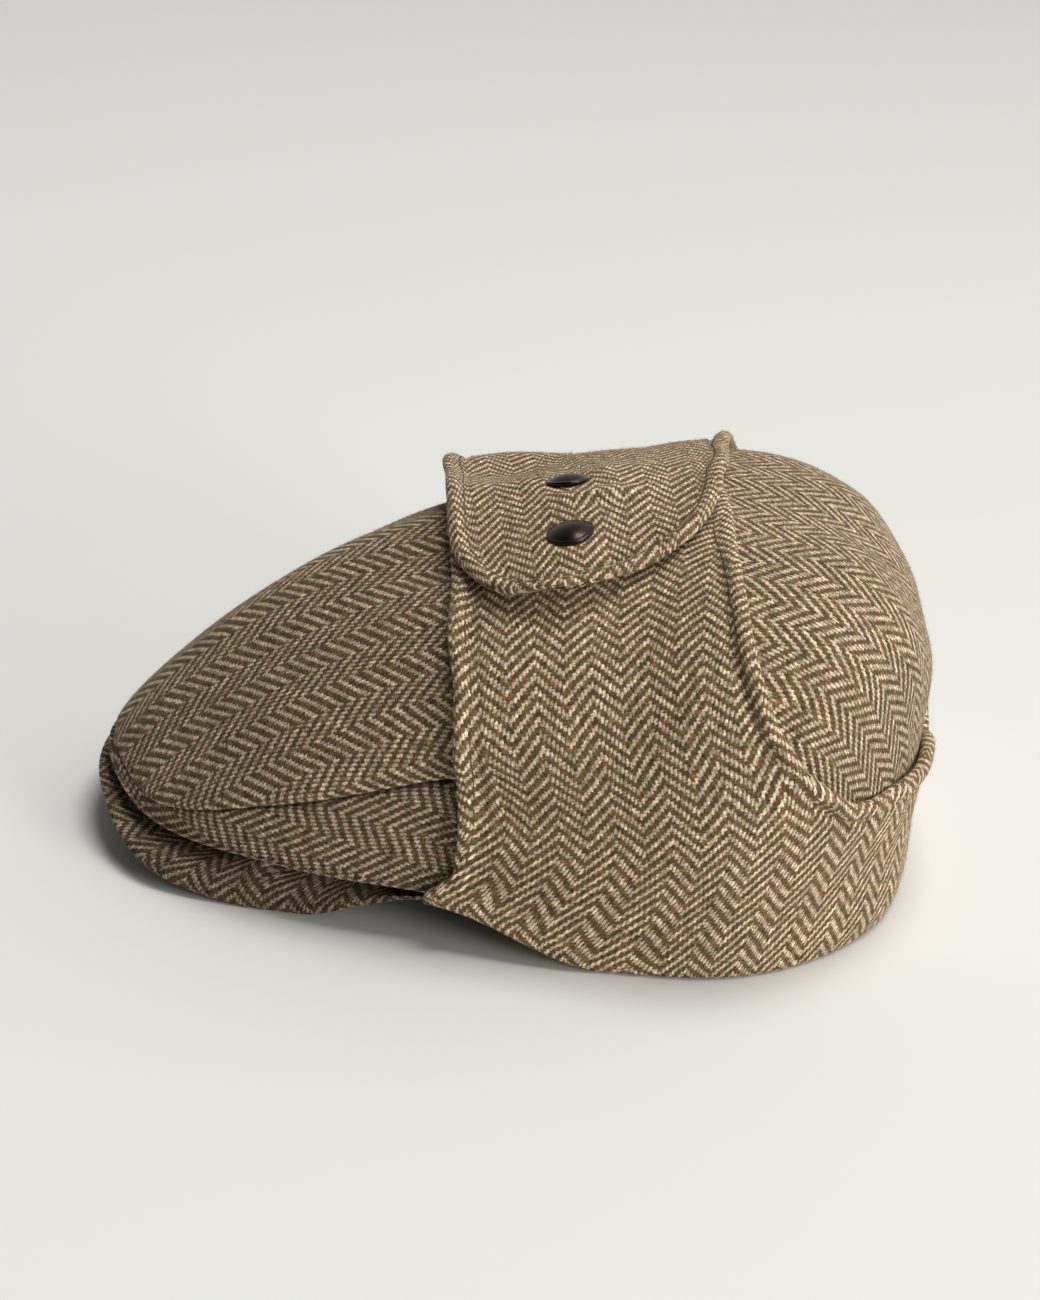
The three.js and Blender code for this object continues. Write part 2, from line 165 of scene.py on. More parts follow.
# A point on the crown, raised by lift: level 0 is the apex, 1 the shoulder and 2 the rim
def crownPoint(bearing, level, lift):
    bearing, level, lift = np.broadcast_arrays(bearing, level, lift)
    reach = crownReach(bearing)
    shoulder = shoulderHeight(bearing)
    turn = np.clip(level, 0, 1) * math.pi / 2
    domeRise = np.maximum(np.cos(turn), 0) ** (2 * domeFullness(bearing))
    drop = np.maximum(level - 1, 0)
    onDome = level <= 1
    pressed = capSizes["pressed"] * np.exp(-((level / capSizes["pressedLevel"]) ** 2))
    domeHeight = shoulder + (capSizes["top"] + lift - shoulder) * domeRise - pressed
    wallHeight = mix(shoulder, rimHeight(bearing), drop)
    wallReach = mix(reach, rimReach(bearing), drop**2) + lift
    radius = np.where(onDome, (reach + lift) * np.sin(turn), wallReach)
    return atBearing(bearing, radius, np.where(onDome, domeHeight, wallHeight))


# A place on the crown laid flat is across + along * 1j
def placeBearing(place):
    return np.degrees(np.arctan2(place.real, -place.imag))


def patternPoint(place, lift):
    circle = np.abs(place)
    shoulder = capSizes["shoulderCircle"]
    wall = (circle - shoulder) / (capSizes["rimCircle"] - shoulder)
    level = np.where(wall < 0, circle / shoulder, 1 + wall)
    return crownPoint(placeBearing(place), level, lift)


# Broad uneven swells that worn cloth has
def softLumps(points, amount, seed, shortest=26, longest=64, waves=8):
    draw = np.random.default_rng(seed)
    total = np.zeros(points.shape[:-1])
    for _ in range(waves):
        direction = draw.normal(size=3)
        direction /= np.linalg.norm(direction)
        length = draw.uniform(shortest, longest)
        total += np.sin(points @ direction * (2 * math.pi / length) + draw.uniform(0, 2 * math.pi))
    return amount * total / math.sqrt(waves)


# The top sags a little past its middle, under the flaps' weight
sagTable = {"depth": 4, "from": 8, "run": 34, "middle": 5, "width": 60, "height": 85, "heightRun": 30}


def sagged(points):
    across = ease((sagTable["from"] - points[..., 0]) / sagTable["run"])
    along = np.exp(-(((points[..., 1] - sagTable["middle"]) / sagTable["width"]) ** 2))
    high = ease((points[..., 2] - sagTable["height"]) / sagTable["heightRun"])
    result = np.array(points, dtype=float)
    result[..., 2] -= sagTable["depth"] * across * along * high
    return result


# The length of each step along a line of points, and the length run from its start
def stepLengths(points, axis=0):
    start = np.take(points, [0], axis)
    return np.linalg.norm(np.diff(points, axis=axis, prepend=start), axis=-1)


def runLength(points, axis=0):
    return np.cumsum(stepLengths(points, axis), axis=axis)


def beside(*parts):
    return np.concatenate(parts, axis=1)


def gridFaces(rows, columns, closeRows=False, closeColumns=False):
    row = np.arange(rows if closeRows else rows - 1)[:, None]
    column = np.arange(columns if closeColumns else columns - 1)[None, :]
    nextRow = (row + 1) % rows
    nextColumn = (column + 1) % columns
    corners = (
        row * columns + column,
        row * columns + nextColumn,
        nextRow * columns + nextColumn,
        nextRow * columns + column,
    )
    return np.stack(np.broadcast_arrays(*corners), axis=-1).reshape(-1, 4).tolist()


# Faces of closed sections, one to a row, with some of the rows filled in
def sectionFaces(points, filled):
    rows, columns = points.shape[:2]
    faces = gridFaces(rows, columns, closeColumns=True)
    for row in filled:
        first = row % rows * columns
        faces.append(tuple(range(first, first + columns)))
    return faces


def firstColumns(points, count):
    rows, columns = points.shape[:2]
    return np.repeat(np.arange(columns)[None, :] < count, rows, 0)


def newMesh(name, points, faces, edges=()):
    mesh = bpy.data.meshes.new(name)
    mesh.from_pydata((np.reshape(points, (-1, 3)) * mm).tolist(), edges, faces)
    return mesh


def cornerVertices(mesh):
    vertices = np.empty(len(mesh.loops), int)
    mesh.loops.foreach_get("vertex_index", vertices)
    return vertices


# Merges doubles, turns the faces outward and shades them smooth; distances in metres
def closeMesh(mesh, merged=2e-6, dropped=1e-6):
    shell = bmesh.new()
    shell.from_mesh(mesh)
    bmesh.ops.remove_doubles(shell, verts=shell.verts, dist=merged)
    bmesh.ops.dissolve_degenerate(shell, edges=shell.edges, dist=dropped)
    bmesh.ops.recalc_face_normals(shell, faces=shell.faces)
    shell.to_mesh(mesh)
    shell.free()
    mesh.shade_smooth()


# A cloth piece from its points and the weave's map, across + along * 1j; nap says where fibres stand
def clothPiece(name, points, weave, nap, faces):
    points = sagged(points.reshape(-1, 3))
    weave = weave.ravel()
    mesh = newMesh(name, points, faces)
    spots = np.stack([weave.real, weave.imag], axis=-1)
    layer = mesh.uv_layers.new(name="weave")
    layer.data.foreach_set("uv", (spots[cornerVertices(mesh)] * clothUnit).ravel())
    fibres = mesh.attributes.new("nap", "FLOAT", "POINT")
    offFloor = points[:, 2] > capSizes["napFrom"]
    fibres.data.foreach_set("value", np.asarray(nap, float).ravel() * offFloor)
    closeMesh(mesh)
    return addObject(name, mesh)


# Lays a sheet of points flat, for the weave
def flattenSheet(points, rounds=12):
    rows, columns = points.shape[:2]
    mesh = newMesh("flatSheet", points, gridFaces(rows, columns))
    sheet = addObject("flatSheet", mesh)
    bpy.context.view_layer.objects.active = sheet
    sheet.select_set(True)
    mesh.uv_layers.new(name="flat")
    bpy.ops.object.mode_set(mode="EDIT")
    bpy.ops.mesh.select_all(action="SELECT")
    bpy.ops.uv.unwrap(method="MINIMUM_STRETCH", margin=0, iterations=rounds)
    bpy.ops.object.mode_set(mode="OBJECT")
    spots = np.empty(len(mesh.loops) * 2)
    mesh.uv_layers["flat"].data.foreach_get("uv", spots)
    flat = np.zeros((rows * columns, 2))
    flat[cornerVertices(mesh)] = spots.reshape(-1, 2)
    bpy.data.objects.remove(sheet)
    bpy.data.meshes.remove(mesh)
    return (flat[:, 0] + 1j * flat[:, 1]).reshape(rows, columns)


# Crown top: a shell from the apex to the side panels' seam, and to the rim behind them
seamTable = {
    "bearing": (0, 42, 48, 54, 60, 66, 72),
    "level": (1.05, 1.05, 1.06, 1.12, 1.3, 1.65, 1.93),
}
crownSettings = {
    "columns": 300,
    "domeRows": 66,
    "wallRows": 22,
    "innerRows": 30,
    "firstLevel": 0.02,
    "leastLevel": 1.01,  # the seam stays below the shoulder
    "seamGap": 0.06,
    "seamDip": 1.0,  # how deep the cloth turns into the seam
    "seamWidth": 3,
    "lumps": 0.45,
    "lumpSeed": 4,
    "stripeTurn": 5,  # degrees from the front-to-back line
    "picksWider": 1.14,
}
seamLevel = tableCurve(seamTable, "level")


def halfSeam(bearing):
    return crownSettings["seamGap"] / 2 / (shoulderHeight(bearing) - rimHeight(bearing))


def seamDip(distance):
    return -crownSettings["seamDip"] * np.clip(1 - distance / crownSettings["seamWidth"], 0, 1) ** 2


def makeCrownTop(settings):
    bearing = np.linspace(0, 360, settings["columns"], endpoint=False)[:, None]
    sewn = np.minimum(bearing, 360 - bearing) <= seamTable["bearing"][-1]
    seam = np.maximum(settings["leastLevel"], seamLevel(bearing) - halfSeam(bearing))
    end = np.where(sewn, seam, 2.0)
    dome = np.linspace(settings["firstLevel"], 1, settings["domeRows"])[None, :]
    wallShare = np.linspace(0, 1, settings["wallRows"] + 1)[None, 1:]
    level = beside(np.repeat(dome, len(bearing), 0), 1 + (end - 1) * wallShare)
    flat = crownPoint(bearing, level, 0)
    along = runLength(flat, 1) + crownReach(bearing) * settings["firstLevel"] * math.pi / 2
    toSeam = np.where(sewn, along[:, -1:] - along, np.inf)
    lift = softLumps(flat, settings["lumps"], settings["lumpSeed"]) + seamDip(toSeam)
    outer = crownPoint(bearing, level, lift)
    pick = np.linspace(level.shape[1] - 1, 0, settings["innerRows"]).astype(int)
    inner = crownPoint(bearing, level[:, pick], -crownCloth)
    meridians = beside(outer, inner)
    radius = beside(along, along[:, pick])
    turn = np.radians(bearing) + math.radians(settings["stripeTurn"])
    weave = radius * np.sin(turn) - 1j * (radius * np.cos(turn) / settings["picksWider"])
    rows, columns = meridians.shape[:2]
    faces = gridFaces(rows, columns, closeRows=True)
    poles = np.array([crownPoint(0, 0, 0), crownPoint(0, 0, -crownCloth)])
    count = rows * columns
    for row in range(rows):
        after = (row + 1) % rows
        faces.append((count, row * columns, after * columns))
        faces.append((count + 1, after * columns + columns - 1, row * columns + columns - 1))
    points = np.concatenate([meridians.reshape(-1, 3), poles])
    weave = np.concatenate([weave.ravel(), [0, 0]])
    nap = np.concatenate([firstColumns(meridians, level.shape[1]).ravel(), [True, False]])
    return clothPiece("crownTop", points, weave, nap, faces)


crownTop = makeCrownTop(crownSettings)
print("crown top:", len(crownTop.data.polygons), "faces")

# Side panels: a crescent of wall between the seam and the turned rim
sideSettings = {
    "columns": 150,
    "wallRows": 18,
    "rowsGather": 0.8,
    "innerStep": 3,
    "rimRadius": 1.7,
    "rimFlat": 0.6,
    "rimTurns": (-20, 5, 30, 55, 80, 110, 140, 170),
    "rimOut": 0.4,
    "rimHeld": 0.95,  # from here down the swells are held in
    "rimSwell": 0.2,
    "rimNap": 3,  # how many of the rim's turns have fibres
    "lumps": 0.3,
    "lumpSeed": 9,
    "stripeTurn": -28,  # degrees from the rim's line
}


def makeCrownSide(name, side, settings):
    first = crownSettings["seamGap"] / 2 / crownTable["reach"][0] / math.radians(1)
    bearing = np.linspace(first, seamTable["bearing"][-1], settings["columns"])[:, None]
    start = seamLevel(bearing) + halfSeam(bearing)
    share = np.linspace(0, 1, settings["wallRows"])[None, :] ** settings["rowsGather"]
    level = mix(start, 2, share)
    flat = crownPoint(bearing, level, 0)
    down = runLength(flat, 1)
    lift = softLumps(flat, settings["lumps"], settings["lumpSeed"]) + seamDip(down)
    lift = np.where(share > settings["rimHeld"], np.minimum(lift, settings["rimSwell"]), lift)
    outer = crownPoint(bearing, level, lift)
    upward = slice(None, None, -settings["innerStep"])
    inner = crownPoint(bearing, level[:, upward], -crownCloth)
    turns = np.radians(np.array(settings["rimTurns"]))[None, :]
    radius = settings["rimRadius"]
    reach = rimReach(bearing) + settings["rimOut"] - crownCloth / 2 + radius * np.cos(turns)
    rim = atBearing(bearing, reach, rimHeight(bearing) - settings["rimFlat"] * radius * np.sin(turns))
    points = beside(outer, rim, inner) * np.array((side, 1, 1))
    length = runLength(flat[:, -1])
    height = beside(-down, -down[:, -1:] - radius * turns, -down[:, upward])
    weave = (height + 1j * length[:, None]) * np.exp(1j * math.radians(settings["stripeTurn"]))
    nap = firstColumns(points, outer.shape[1] + settings["rimNap"])
    return clothPiece(name, points, weave, nap, sectionFaces(points, (0, -1)))


sideLeft = makeCrownSide("crownSideLeft", 1, sideSettings)
sideRight = makeCrownSide("crownSideRight", -1, sideSettings)
print("side panels:", len(sideLeft.data.polygons), "faces each")

# Peak: flat under the crown, and past the rim it rolls down to its edge
peakTable = {
    "bearing": (0, 8, 14, 20, 25, 31, 37, 46),
    "beyond": (4, 5.5, 8, 8.5, 3, -4.5, -6, -3),
    "edge": (16, 14.5, 9, 3.8, 0.4, 0, 6.5, 13.2),
    "depth": (52, 52, 50, 46, 41, 33, 24, 13),
}
peakSettings = {
    "columns": 190,
    "turns": 22,
    "thickness": 4.6,
    "lipShare": 0.45,  # of the thickness
    "lipTurns": 6,
    "rollRun": 14,
    "leastRun": 2,
    "seat": 5.6,  # below the crown's rim
    "steepest": 0.55,
}


def makePeak(settings):
    last = peakTable["bearing"][-1]
    bearing = np.linspace(-last, last, settings["columns"])[:, None]
    thickness = settings["thickness"]
    lipSize = thickness * settings["lipShare"]
    rim = rimReach(bearing)
    edge = np.maximum(0, tableCurve(peakTable, "edge")(bearing))
    tip = rim + tableCurve(peakTable, "beyond")(bearing)
    inner = rim - tableCurve(peakTable, "depth")(bearing)
    start = np.maximum(inner + settings["leastRun"], np.minimum(rim, tip) - settings["rollRun"])
    low = edge + lipSize
    high = rimHeight(bearing) - settings["seat"]
    underRim = np.clip((rim - crownCloth - gap / 2 - start) / (tip - start), 0, 1)
    seatShare = np.maximum(settings["steepest"], np.sqrt(1 - underRim**2))
    top = np.where(tip > rim, low + (high - low) / seatShare, high)
    turn = np.linspace(0, math.pi / 2, settings["turns"])[None, :]
    upperReach = beside(inner, mix(start, tip, np.sin(turn)))
    upperHeight = beside(top, mix(low, top, np.cos(turn)))
    slope = beside(np.zeros((1, 1)), turn)[:, :-2]
    lowerReach = upperReach[:, :-2] - thickness * np.sin(slope)
    lowerHeight = np.maximum(edge, upperHeight[:, :-2] - thickness * np.cos(slope))
    lip = np.linspace(0, math.pi / 2, settings["lipTurns"])[None, 1:]
    lipReach = tip - lipSize * (1 - np.cos(lip))
    lipHeight = low - (low - edge) * np.sin(lip)
    reach = beside(upperReach, lipReach, lowerReach[:, ::-1])
    height = beside(upperHeight, lipHeight, lowerHeight[:, ::-1])
    points = atBearing(bearing, reach, height)
    sheetColumns = upperReach.shape[1] + lip.shape[1]
    down = runLength(points, 1)
    down = down - down[:, sheetColumns - 1 : sheetColumns]
    weave = runLength(points[:, sheetColumns - 1])[:, None] - 1j * down
    nap = firstColumns(points, sheetColumns)
    return clothPiece("peakBrim", points, weave, nap, sectionFaces(points, (0, -1)))


peakBrim = makePeak(peakSettings)
print("peak:", len(peakBrim.data.polygons), "faces")

# Earflaps, each one strip with its half of the turned-up band: front edge and rear hem on the flat
# disc, from the tip to the rim, then the fold's bearings with the hem going on round the back
flapTable = {
    "edge": (
        -46.2 - 32.4j, -42.2 - 37.4j, -36.2 - 39.4j, -21 - 38j, -31.5j, 20.4 - 39.5j,
        41.9 - 49.8j, 64.2 - 58.6j, 95.4 - 75.4j, 122 - 94.4j, 131 - 104.5j,
    ),
    "hem": (
        -46.8 - 24j, -45 - 16.5j, -41.6 - 8.8j, -30 + 1.4j, 8.9j, 35.3 + 10.9j, 64.3 + 15.1j,
        81.4 + 19.2j, 103 + 29.4j, 110 + 38.6j, 111.4 + 43j, 112 + 47.6j, 112.7 + 52.6j, 113 + 58j,
        112.8 + 65.2j, 111.3 + 75.4j, 104.8 + 86.8j, 93.6 + 99j, 60.7 + 124.5j, 0.5 + 145j,
    ),
    "fold": (48.5, 60, 75, 92, 108, 124, 140, 158, 179.8),
}
puffTable = {"bearing": (0, 48, 62, 85, 120, 180), "puff": (1.5, 1.8, 2.8, 2.4, 2.5, 2.6)}
legTable = {"bearing": (48.5, 60, 67.5), "rise": (-0.8, 5.6, 8)}
hemTable = {"inset": (0, 2, 4.2, 6.3, 8.6), "proud": (1.5, 2.0, 1.9, -0.9, 0)}
flapSettings = {
    "flapSteps": 12,
    "bandSteps": 10,
    "endInsets": (0, 0.12, 0.35, 0.7, 1.15, 1.7, 2.4, 3.2, 4.2, 5.2, 6.3, 7.4, 8.6, 10),
    "middleColumns": 24,
    "narrowest": 2.3,  # a row shorter than this many last insets has them shrunk
    "edgeTurns": (8, 172, 12),  # first and last in degrees, and how many
    "edgeNap": 5,
    "outlineSteps": (5200, 2600, 120),  # along the hem, the edge and the tip
    "hemRound": 2.0,
    "stitchInset": 6.3,
    "stitchPath": 7.4,  # the same line, measured over the hem's roll
    "tipStitchRow": 12,
    "closerFrom": 45,
    "closerSoft": 8,
    "tipBulge": 1.3,
    "puffWidth": 22,
    "foldRadius": 2.4,
    "foldTurns": (0, 22, 45, 68, 90),
    "legRound": 1.1,
    "legBevel": 0.3,
    "creaseFrom": 44,  # the soft crease above the fold's front corner
    "creaseTo": 68,
    "creaseIn": 6,
    "creaseOut": 12,
    "creaseCircle": 167,
    "creaseHalf": 9,
    "creaseDepth": 2.0,
    "climbStart": 66,  # where the right flap climbs over the left one's tip
    "climbEnd": 47,
    "coverStart": 46,  # where the left flap's hem is pressed flat under it
    "coverEnd": 30,
    "coverHem": 0.25,
    "settle": 0.75,  # how much of the climb it loses past the left flap's hem
    "settleRun": 7,
    "spring": 8,  # how far the front edge springs up where the flaps cross, a little to the right
    "springAcross": 18,
    "springHalf": 36,
    "springFrom": 24,
    "springTo": 38,
    "springUnder": 0.6,
    "tipLift": 4.6,
    "tipRows": 3,
    "edgeStand": 1.5,  # the front edge stands off the crown
    "edgeRun": 14,
    "lumps": 0.4,
    "lumpRun": 12,  # the swells die out towards the hems
    "lumpUnder": 0.5,
    "backSeam": 30,  # and towards the centre back
}
flapKinds = {
    "earFlapLeft": {"side": 1, "climbs": False, "seed": 21, "turn": 0, "finer": 1, "closer": 0.3},
    "earFlapRight": {"side": -1, "climbs": True, "seed": 33, "turn": -6, "finer": 1.15, "closer": 0},
}
flatUnit = {"across": 1.23, "along": 2.38}  # millimetres on the crown's top for a unit of the disc
snapPlaces = {"lower": -23.4 - 24.3j, "upper": -1.4 - 16j}
snapDimple = {"depth": 0.9, "width": 8, "rise": 0.7, "riseAt": 11.5, "riseWidth": 3.5}
snapRidge = {"place": -10.4 - 16j, "rise": 2.4, "across": 3.2, "along": 13}  # by the upper snap
climbHeight = flapCloth + 2 * gap
foldPuff = tableCurve(puffTable, "puff")
legRise = tableCurve(legTable, "rise")
hemProud = tableCurve(hemTable, "proud", "inset")
flapKnots = len(flapTable["edge"])
lastRow = flapKnots + len(flapTable["fold"]) - 1
underHem = -np.array(flapTable["hem"][4::-1]).conjugate()  # the left flap's, seen from the right one


def onRim(bearing):
    return capSizes["rimCircle"] * (np.sin(np.radians(bearing)) - 1j * np.cos(np.radians(bearing)))


# A smooth line through places on the flat disc, spaced by the square root of their distance
def placeCurve(knots):
    line = np.array([2 * knots[0] - knots[1], *knots, 2 * knots[-1] - knots[-2]])

    def curve(place):
        i = np.clip(np.floor(place).astype(int), 0, len(knots) - 2)
        t = place - i
        p0, p1, p2, p3 = (line[i + k] for k in range(4))
        d0, d1, d2 = (np.sqrt(np.abs(step)) for step in (p1 - p0, p2 - p1, p3 - p2))
        s1 = ((p1 - p0) / d0 - (p2 - p0) / (d0 + d1) + (p2 - p1) / d1) * d1
        s2 = ((p2 - p1) / d1 - (p3 - p1) / (d1 + d2) + (p3 - p2) / d2) * d1
        bend = 3 * (p2 - p1) - 2 * s1 - s2
        return p1 + s1 * t + bend * t**2 + (2 * (p1 - p2) + s1 + s2) * t**3

    return curve


flapHem = placeCurve(np.array(flapTable["hem"]))
flapEdge = placeCurve(np.concatenate([flapTable["edge"], onRim(np.array(flapTable["fold"]))]))


def foldBearing(row):
    return np.interp(row, flapKnots + np.arange(len(flapTable["fold"])), flapTable["fold"])


def rowEdge(row):
    return np.where(row < flapKnots, flapEdge(row), onRim(foldBearing(row)))


# A place on the flap: row counts the knots from the tip, share goes from the hem to the edge
def flapPlace(row, share):
    place = mix(flapHem(row), rowEdge(row), share)
    bulge = flapSettings["tipBulge"] * np.clip(1 - row, 0, 1) ** 2
    return place - bulge * 4 * share * (1 - share)


def springRise(place, climbs):
    centre = flapSettings["springAcross"] * (1 if climbs else -1)
    nearTop = np.clip(1 - ((place.real - centre) / flapSettings["springHalf"]) ** 2, 0, 1) ** 2
    forward = fade(-place.imag, flapSettings["springFrom"], flapSettings["springTo"])
    return flapSettings["spring"] * (1 if climbs else flapSettings["springUnder"]) * nearTop * forward


def flapBottom(place, row, share, climbs):
    lift = gap + 0 * share
    if climbs:
        climbed = fade(place.real, flapSettings["climbStart"], flapSettings["climbEnd"])
        coveredTo = np.interp(place.real, underHem.real, underHem.imag)
        past = ease((place.imag - coveredTo) / flapSettings["settleRun"])
        climbed = climbed * (1 - flapSettings["settle"] * past)
        lift = lift + np.where(np.abs(place) < capSizes["shoulderCircle"], climbHeight * climbed, 0)
        lift = lift + flapSettings["tipLift"] * np.clip(1 - row / flapSettings["tipRows"], 0, 1) ** 2
    lift = lift + springRise(place, climbs)
    toEdge = np.abs(rowEdge(row) - flapHem(row)) * (1 - share)
    puff = foldPuff(foldBearing(row)) * ease(1 - toEdge / flapSettings["puffWidth"])
    return lift + np.where(row >= flapKnots, puff, 0)


def creaseDepth(place):
    bearing = placeBearing(place)
    enter = ease((bearing - flapSettings["creaseFrom"]) / flapSettings["creaseIn"])
    leave = ease((flapSettings["creaseTo"] - bearing) / flapSettings["creaseOut"])
    across = (np.abs(place) - flapSettings["creaseCircle"]) / flapSettings["creaseHalf"]
    return flapSettings["creaseDepth"] * (enter * leave) * np.maximum(0, 1 - across**2)


def onTopOffset(place, spot):
    return (place.real - spot.real) * flatUnit["across"], (place.imag - spot.imag) * flatUnit["along"]


def snapDip(place):
    dip = np.zeros(place.shape)
    for snap in snapPlaces.values():
        away = np.hypot(*onTopOffset(place, snap))
        dip -= snapDimple["depth"] * np.exp(-((away / snapDimple["width"]) ** 2))
        ring = (away - snapDimple["riseAt"]) / snapDimple["riseWidth"]
        dip += snapDimple["rise"] * np.exp(-(ring**2))
    across, along = onTopOffset(place, snapRidge["place"])
    ridge = (across / snapRidge["across"]) ** 2 + (along / snapRidge["along"]) ** 2
    return dip + snapRidge["rise"] * np.exp(-ridge)


# The fold under the rim, flat where it lies on the floor, and its leg inside the rim
def foldTurn(row):
    bearing = foldBearing(row)
    rim = rimReach(bearing)
    puff = foldPuff(bearing)
    under = rimHeight(bearing) - gap
    floor = under - flapCloth
    outside = rim + gap + flapCloth + puff
    legFace = rim - crownCloth - gap
    inside = legFace - flapCloth
    legTop = rimHeight(bearing) + legRise(bearing)
    radius = flapSettings["foldRadius"]
    legRound = flapSettings["legRound"]
    legBevel = flapSettings["legBevel"]
    corners = []
    for turn in np.radians(flapSettings["foldTurns"]):
        corners.append((outside - radius * (1 - math.cos(turn)), floor + radius * (1 - math.sin(turn))))
    corners += [
        (inside + legRound, floor),
        (inside + legBevel, np.minimum(legTop, floor + legBevel)),
        (inside, np.minimum(legTop, floor + legRound)),
        (inside, legTop),
        (legFace, legTop),
        (legFace, under),
        (rim + gap + puff, under),
    ]
    return [atBearing(bearing, reach, height) for reach, height in corners]


# The weave's map on the flap, in millimetres: level on the wall, laid flat over the crown's top
weaveGrid = {"rows": 115, "columns": 21, "middle": 35, "topTurn": -8}
weaveRing = {"level": 1.2, "bearings": (20, 200, 181)}  # the line that the wall's map is measured along
weaveJoin = {"from": 0.9, "to": 1.1, "front": 60, "back": 100}
leanTable = {
    "bearing": (46, 57, 75, 90, 110, 140, 180),
    "heading": (-12, -12, -12, -12, -8, 0, 0),  # degrees off level
    "height": (48, 48, 48, 50, 58, 62, 62),
    "lean": (0.85, 0.85, 0.8, 0.6, 0.5, 0.42, 0.4),
    "soft": 22,
}


def makeFlapWeave():
    row = np.linspace(0, lastRow, weaveGrid["rows"])[:, None]
    share = np.linspace(0, 1, weaveGrid["columns"])[None, :]
    place = flapPlace(row, share)
    lift = gap + flapCloth
    points = patternPoint(place, lift)
    bearing = placeBearing(place)
    circle = np.abs(place) / capSizes["shoulderCircle"]
    around = np.linspace(*weaveRing["bearings"])
    ring = crownPoint(around, weaveRing["level"], lift)
    heading = np.exp(1j * np.radians(np.interp(around, leanTable["bearing"], leanTable["heading"])))
    ringLine = np.cumsum(stepLengths(ring) * heading)
    upward = 1j * np.interp(bearing, around, heading)
    wall = np.interp(bearing, around, ringLine) + upward * (points[..., 2] - weaveGrid["middle"])
    flat = flattenSheet(points)
    join = (circle > weaveJoin["from"]) & (circle < weaveJoin["to"])
    join &= (bearing > weaveJoin["front"]) & (bearing < weaveJoin["back"])
    fits = []
    for sheet in (flat, flat.conjugate()):
        # turn and shift the flat sheet onto the wall's map where the two meet
        fromMiddle = sheet[join] - sheet[join].mean()
        toMiddle = wall[join] - wall[join].mean()
        turn = np.vdot(fromMiddle, toMiddle) * np.exp(1j * math.radians(weaveGrid["topTurn"]))
        size = math.sqrt((np.abs(toMiddle) ** 2).sum() / (np.abs(fromMiddle) ** 2).sum())
        laid = (sheet - sheet[join].mean()) * size * turn / abs(turn) + wall[join].mean()
        fits.append((np.abs(laid - wall)[join].sum(), laid))
    laid = min(fits, key=lambda fit: fit[0])[1]
    onWall = fade(circle, weaveJoin["from"], weaveJoin["to"])
    flat = mix(laid, wall, onWall)
    # below this height the cloth is pulled round the fold and its stripes lean
    below = np.maximum(np.interp(bearing, leanTable["bearing"], leanTable["height"]) - points[..., 2], 0)
    lean = np.interp(bearing, leanTable["bearing"], leanTable["lean"])
    flat = flat + onWall * lean * below**2 / (below + leanTable["soft"])

    def weaveAt(rows, shares):
        last = np.array(flat.shape) - 1.001  # just inside the last cell
        r = np.clip(np.interp(rows, row[:, 0], np.arange(len(row))), 0, last[0])
        c = np.clip(shares * (weaveGrid["columns"] - 1), 0, last[1])
        r0, c0 = np.floor(r).astype(int), np.floor(c).astype(int)
        near = mix(flat[r0, c0], flat[r0, c0 + 1], c - c0)
        far = mix(flat[r0 + 1, c0], flat[r0 + 1, c0 + 1], c - c0)
        return mix(near, far, r - r0)

    return weaveAt


flapWeave = makeFlapWeave()


def freeOutline(climbs):
    hemSteps, edgeSteps, tipSteps = flapSettings["outlineSteps"]
    edgeRows = np.linspace(0, flapKnots - 0.001, edgeSteps)
    rows = np.concatenate([np.linspace(0, lastRow, hemSteps), edgeRows, np.zeros(tipSteps)])
    shares = np.concatenate([np.zeros(hemSteps), np.ones(edgeSteps), np.linspace(0, 1, tipSteps)])
    place = flapPlace(rows, shares)
    line = patternPoint(place, flapBottom(place, rows, shares, climbs) + flapCloth / 2)
    tree = kdtree.KDTree(len(line))
    for i, point in enumerate(line):
        tree.insert(point, i)
    tree.balance()
    return tree


def flapRowPlaces():
    upper = np.arange(flapKnots * flapSettings["flapSteps"]) / flapSettings["flapSteps"]
    bands = len(flapTable["fold"]) - 1
    lower = flapKnots + np.arange(bands * flapSettings["bandSteps"] + 1) / flapSettings["bandSteps"]
    return np.concatenate([upper, lower])


def columnShares(length):
    ends = np.array(flapSettings["endInsets"])
    shrink = min(1, length / (flapSettings["narrowest"] * ends[-1]))
    inset = ends[-1] * shrink
    middle = np.linspace(inset, length - inset, flapSettings["middleColumns"] + 2)
    edge = ends[ends > flapSettings["hemRound"]][::-1]
    insets = np.concatenate([ends * shrink, middle[1:-1], length - edge * shrink])
    return insets / length, flapSettings["hemRound"] * shrink / length


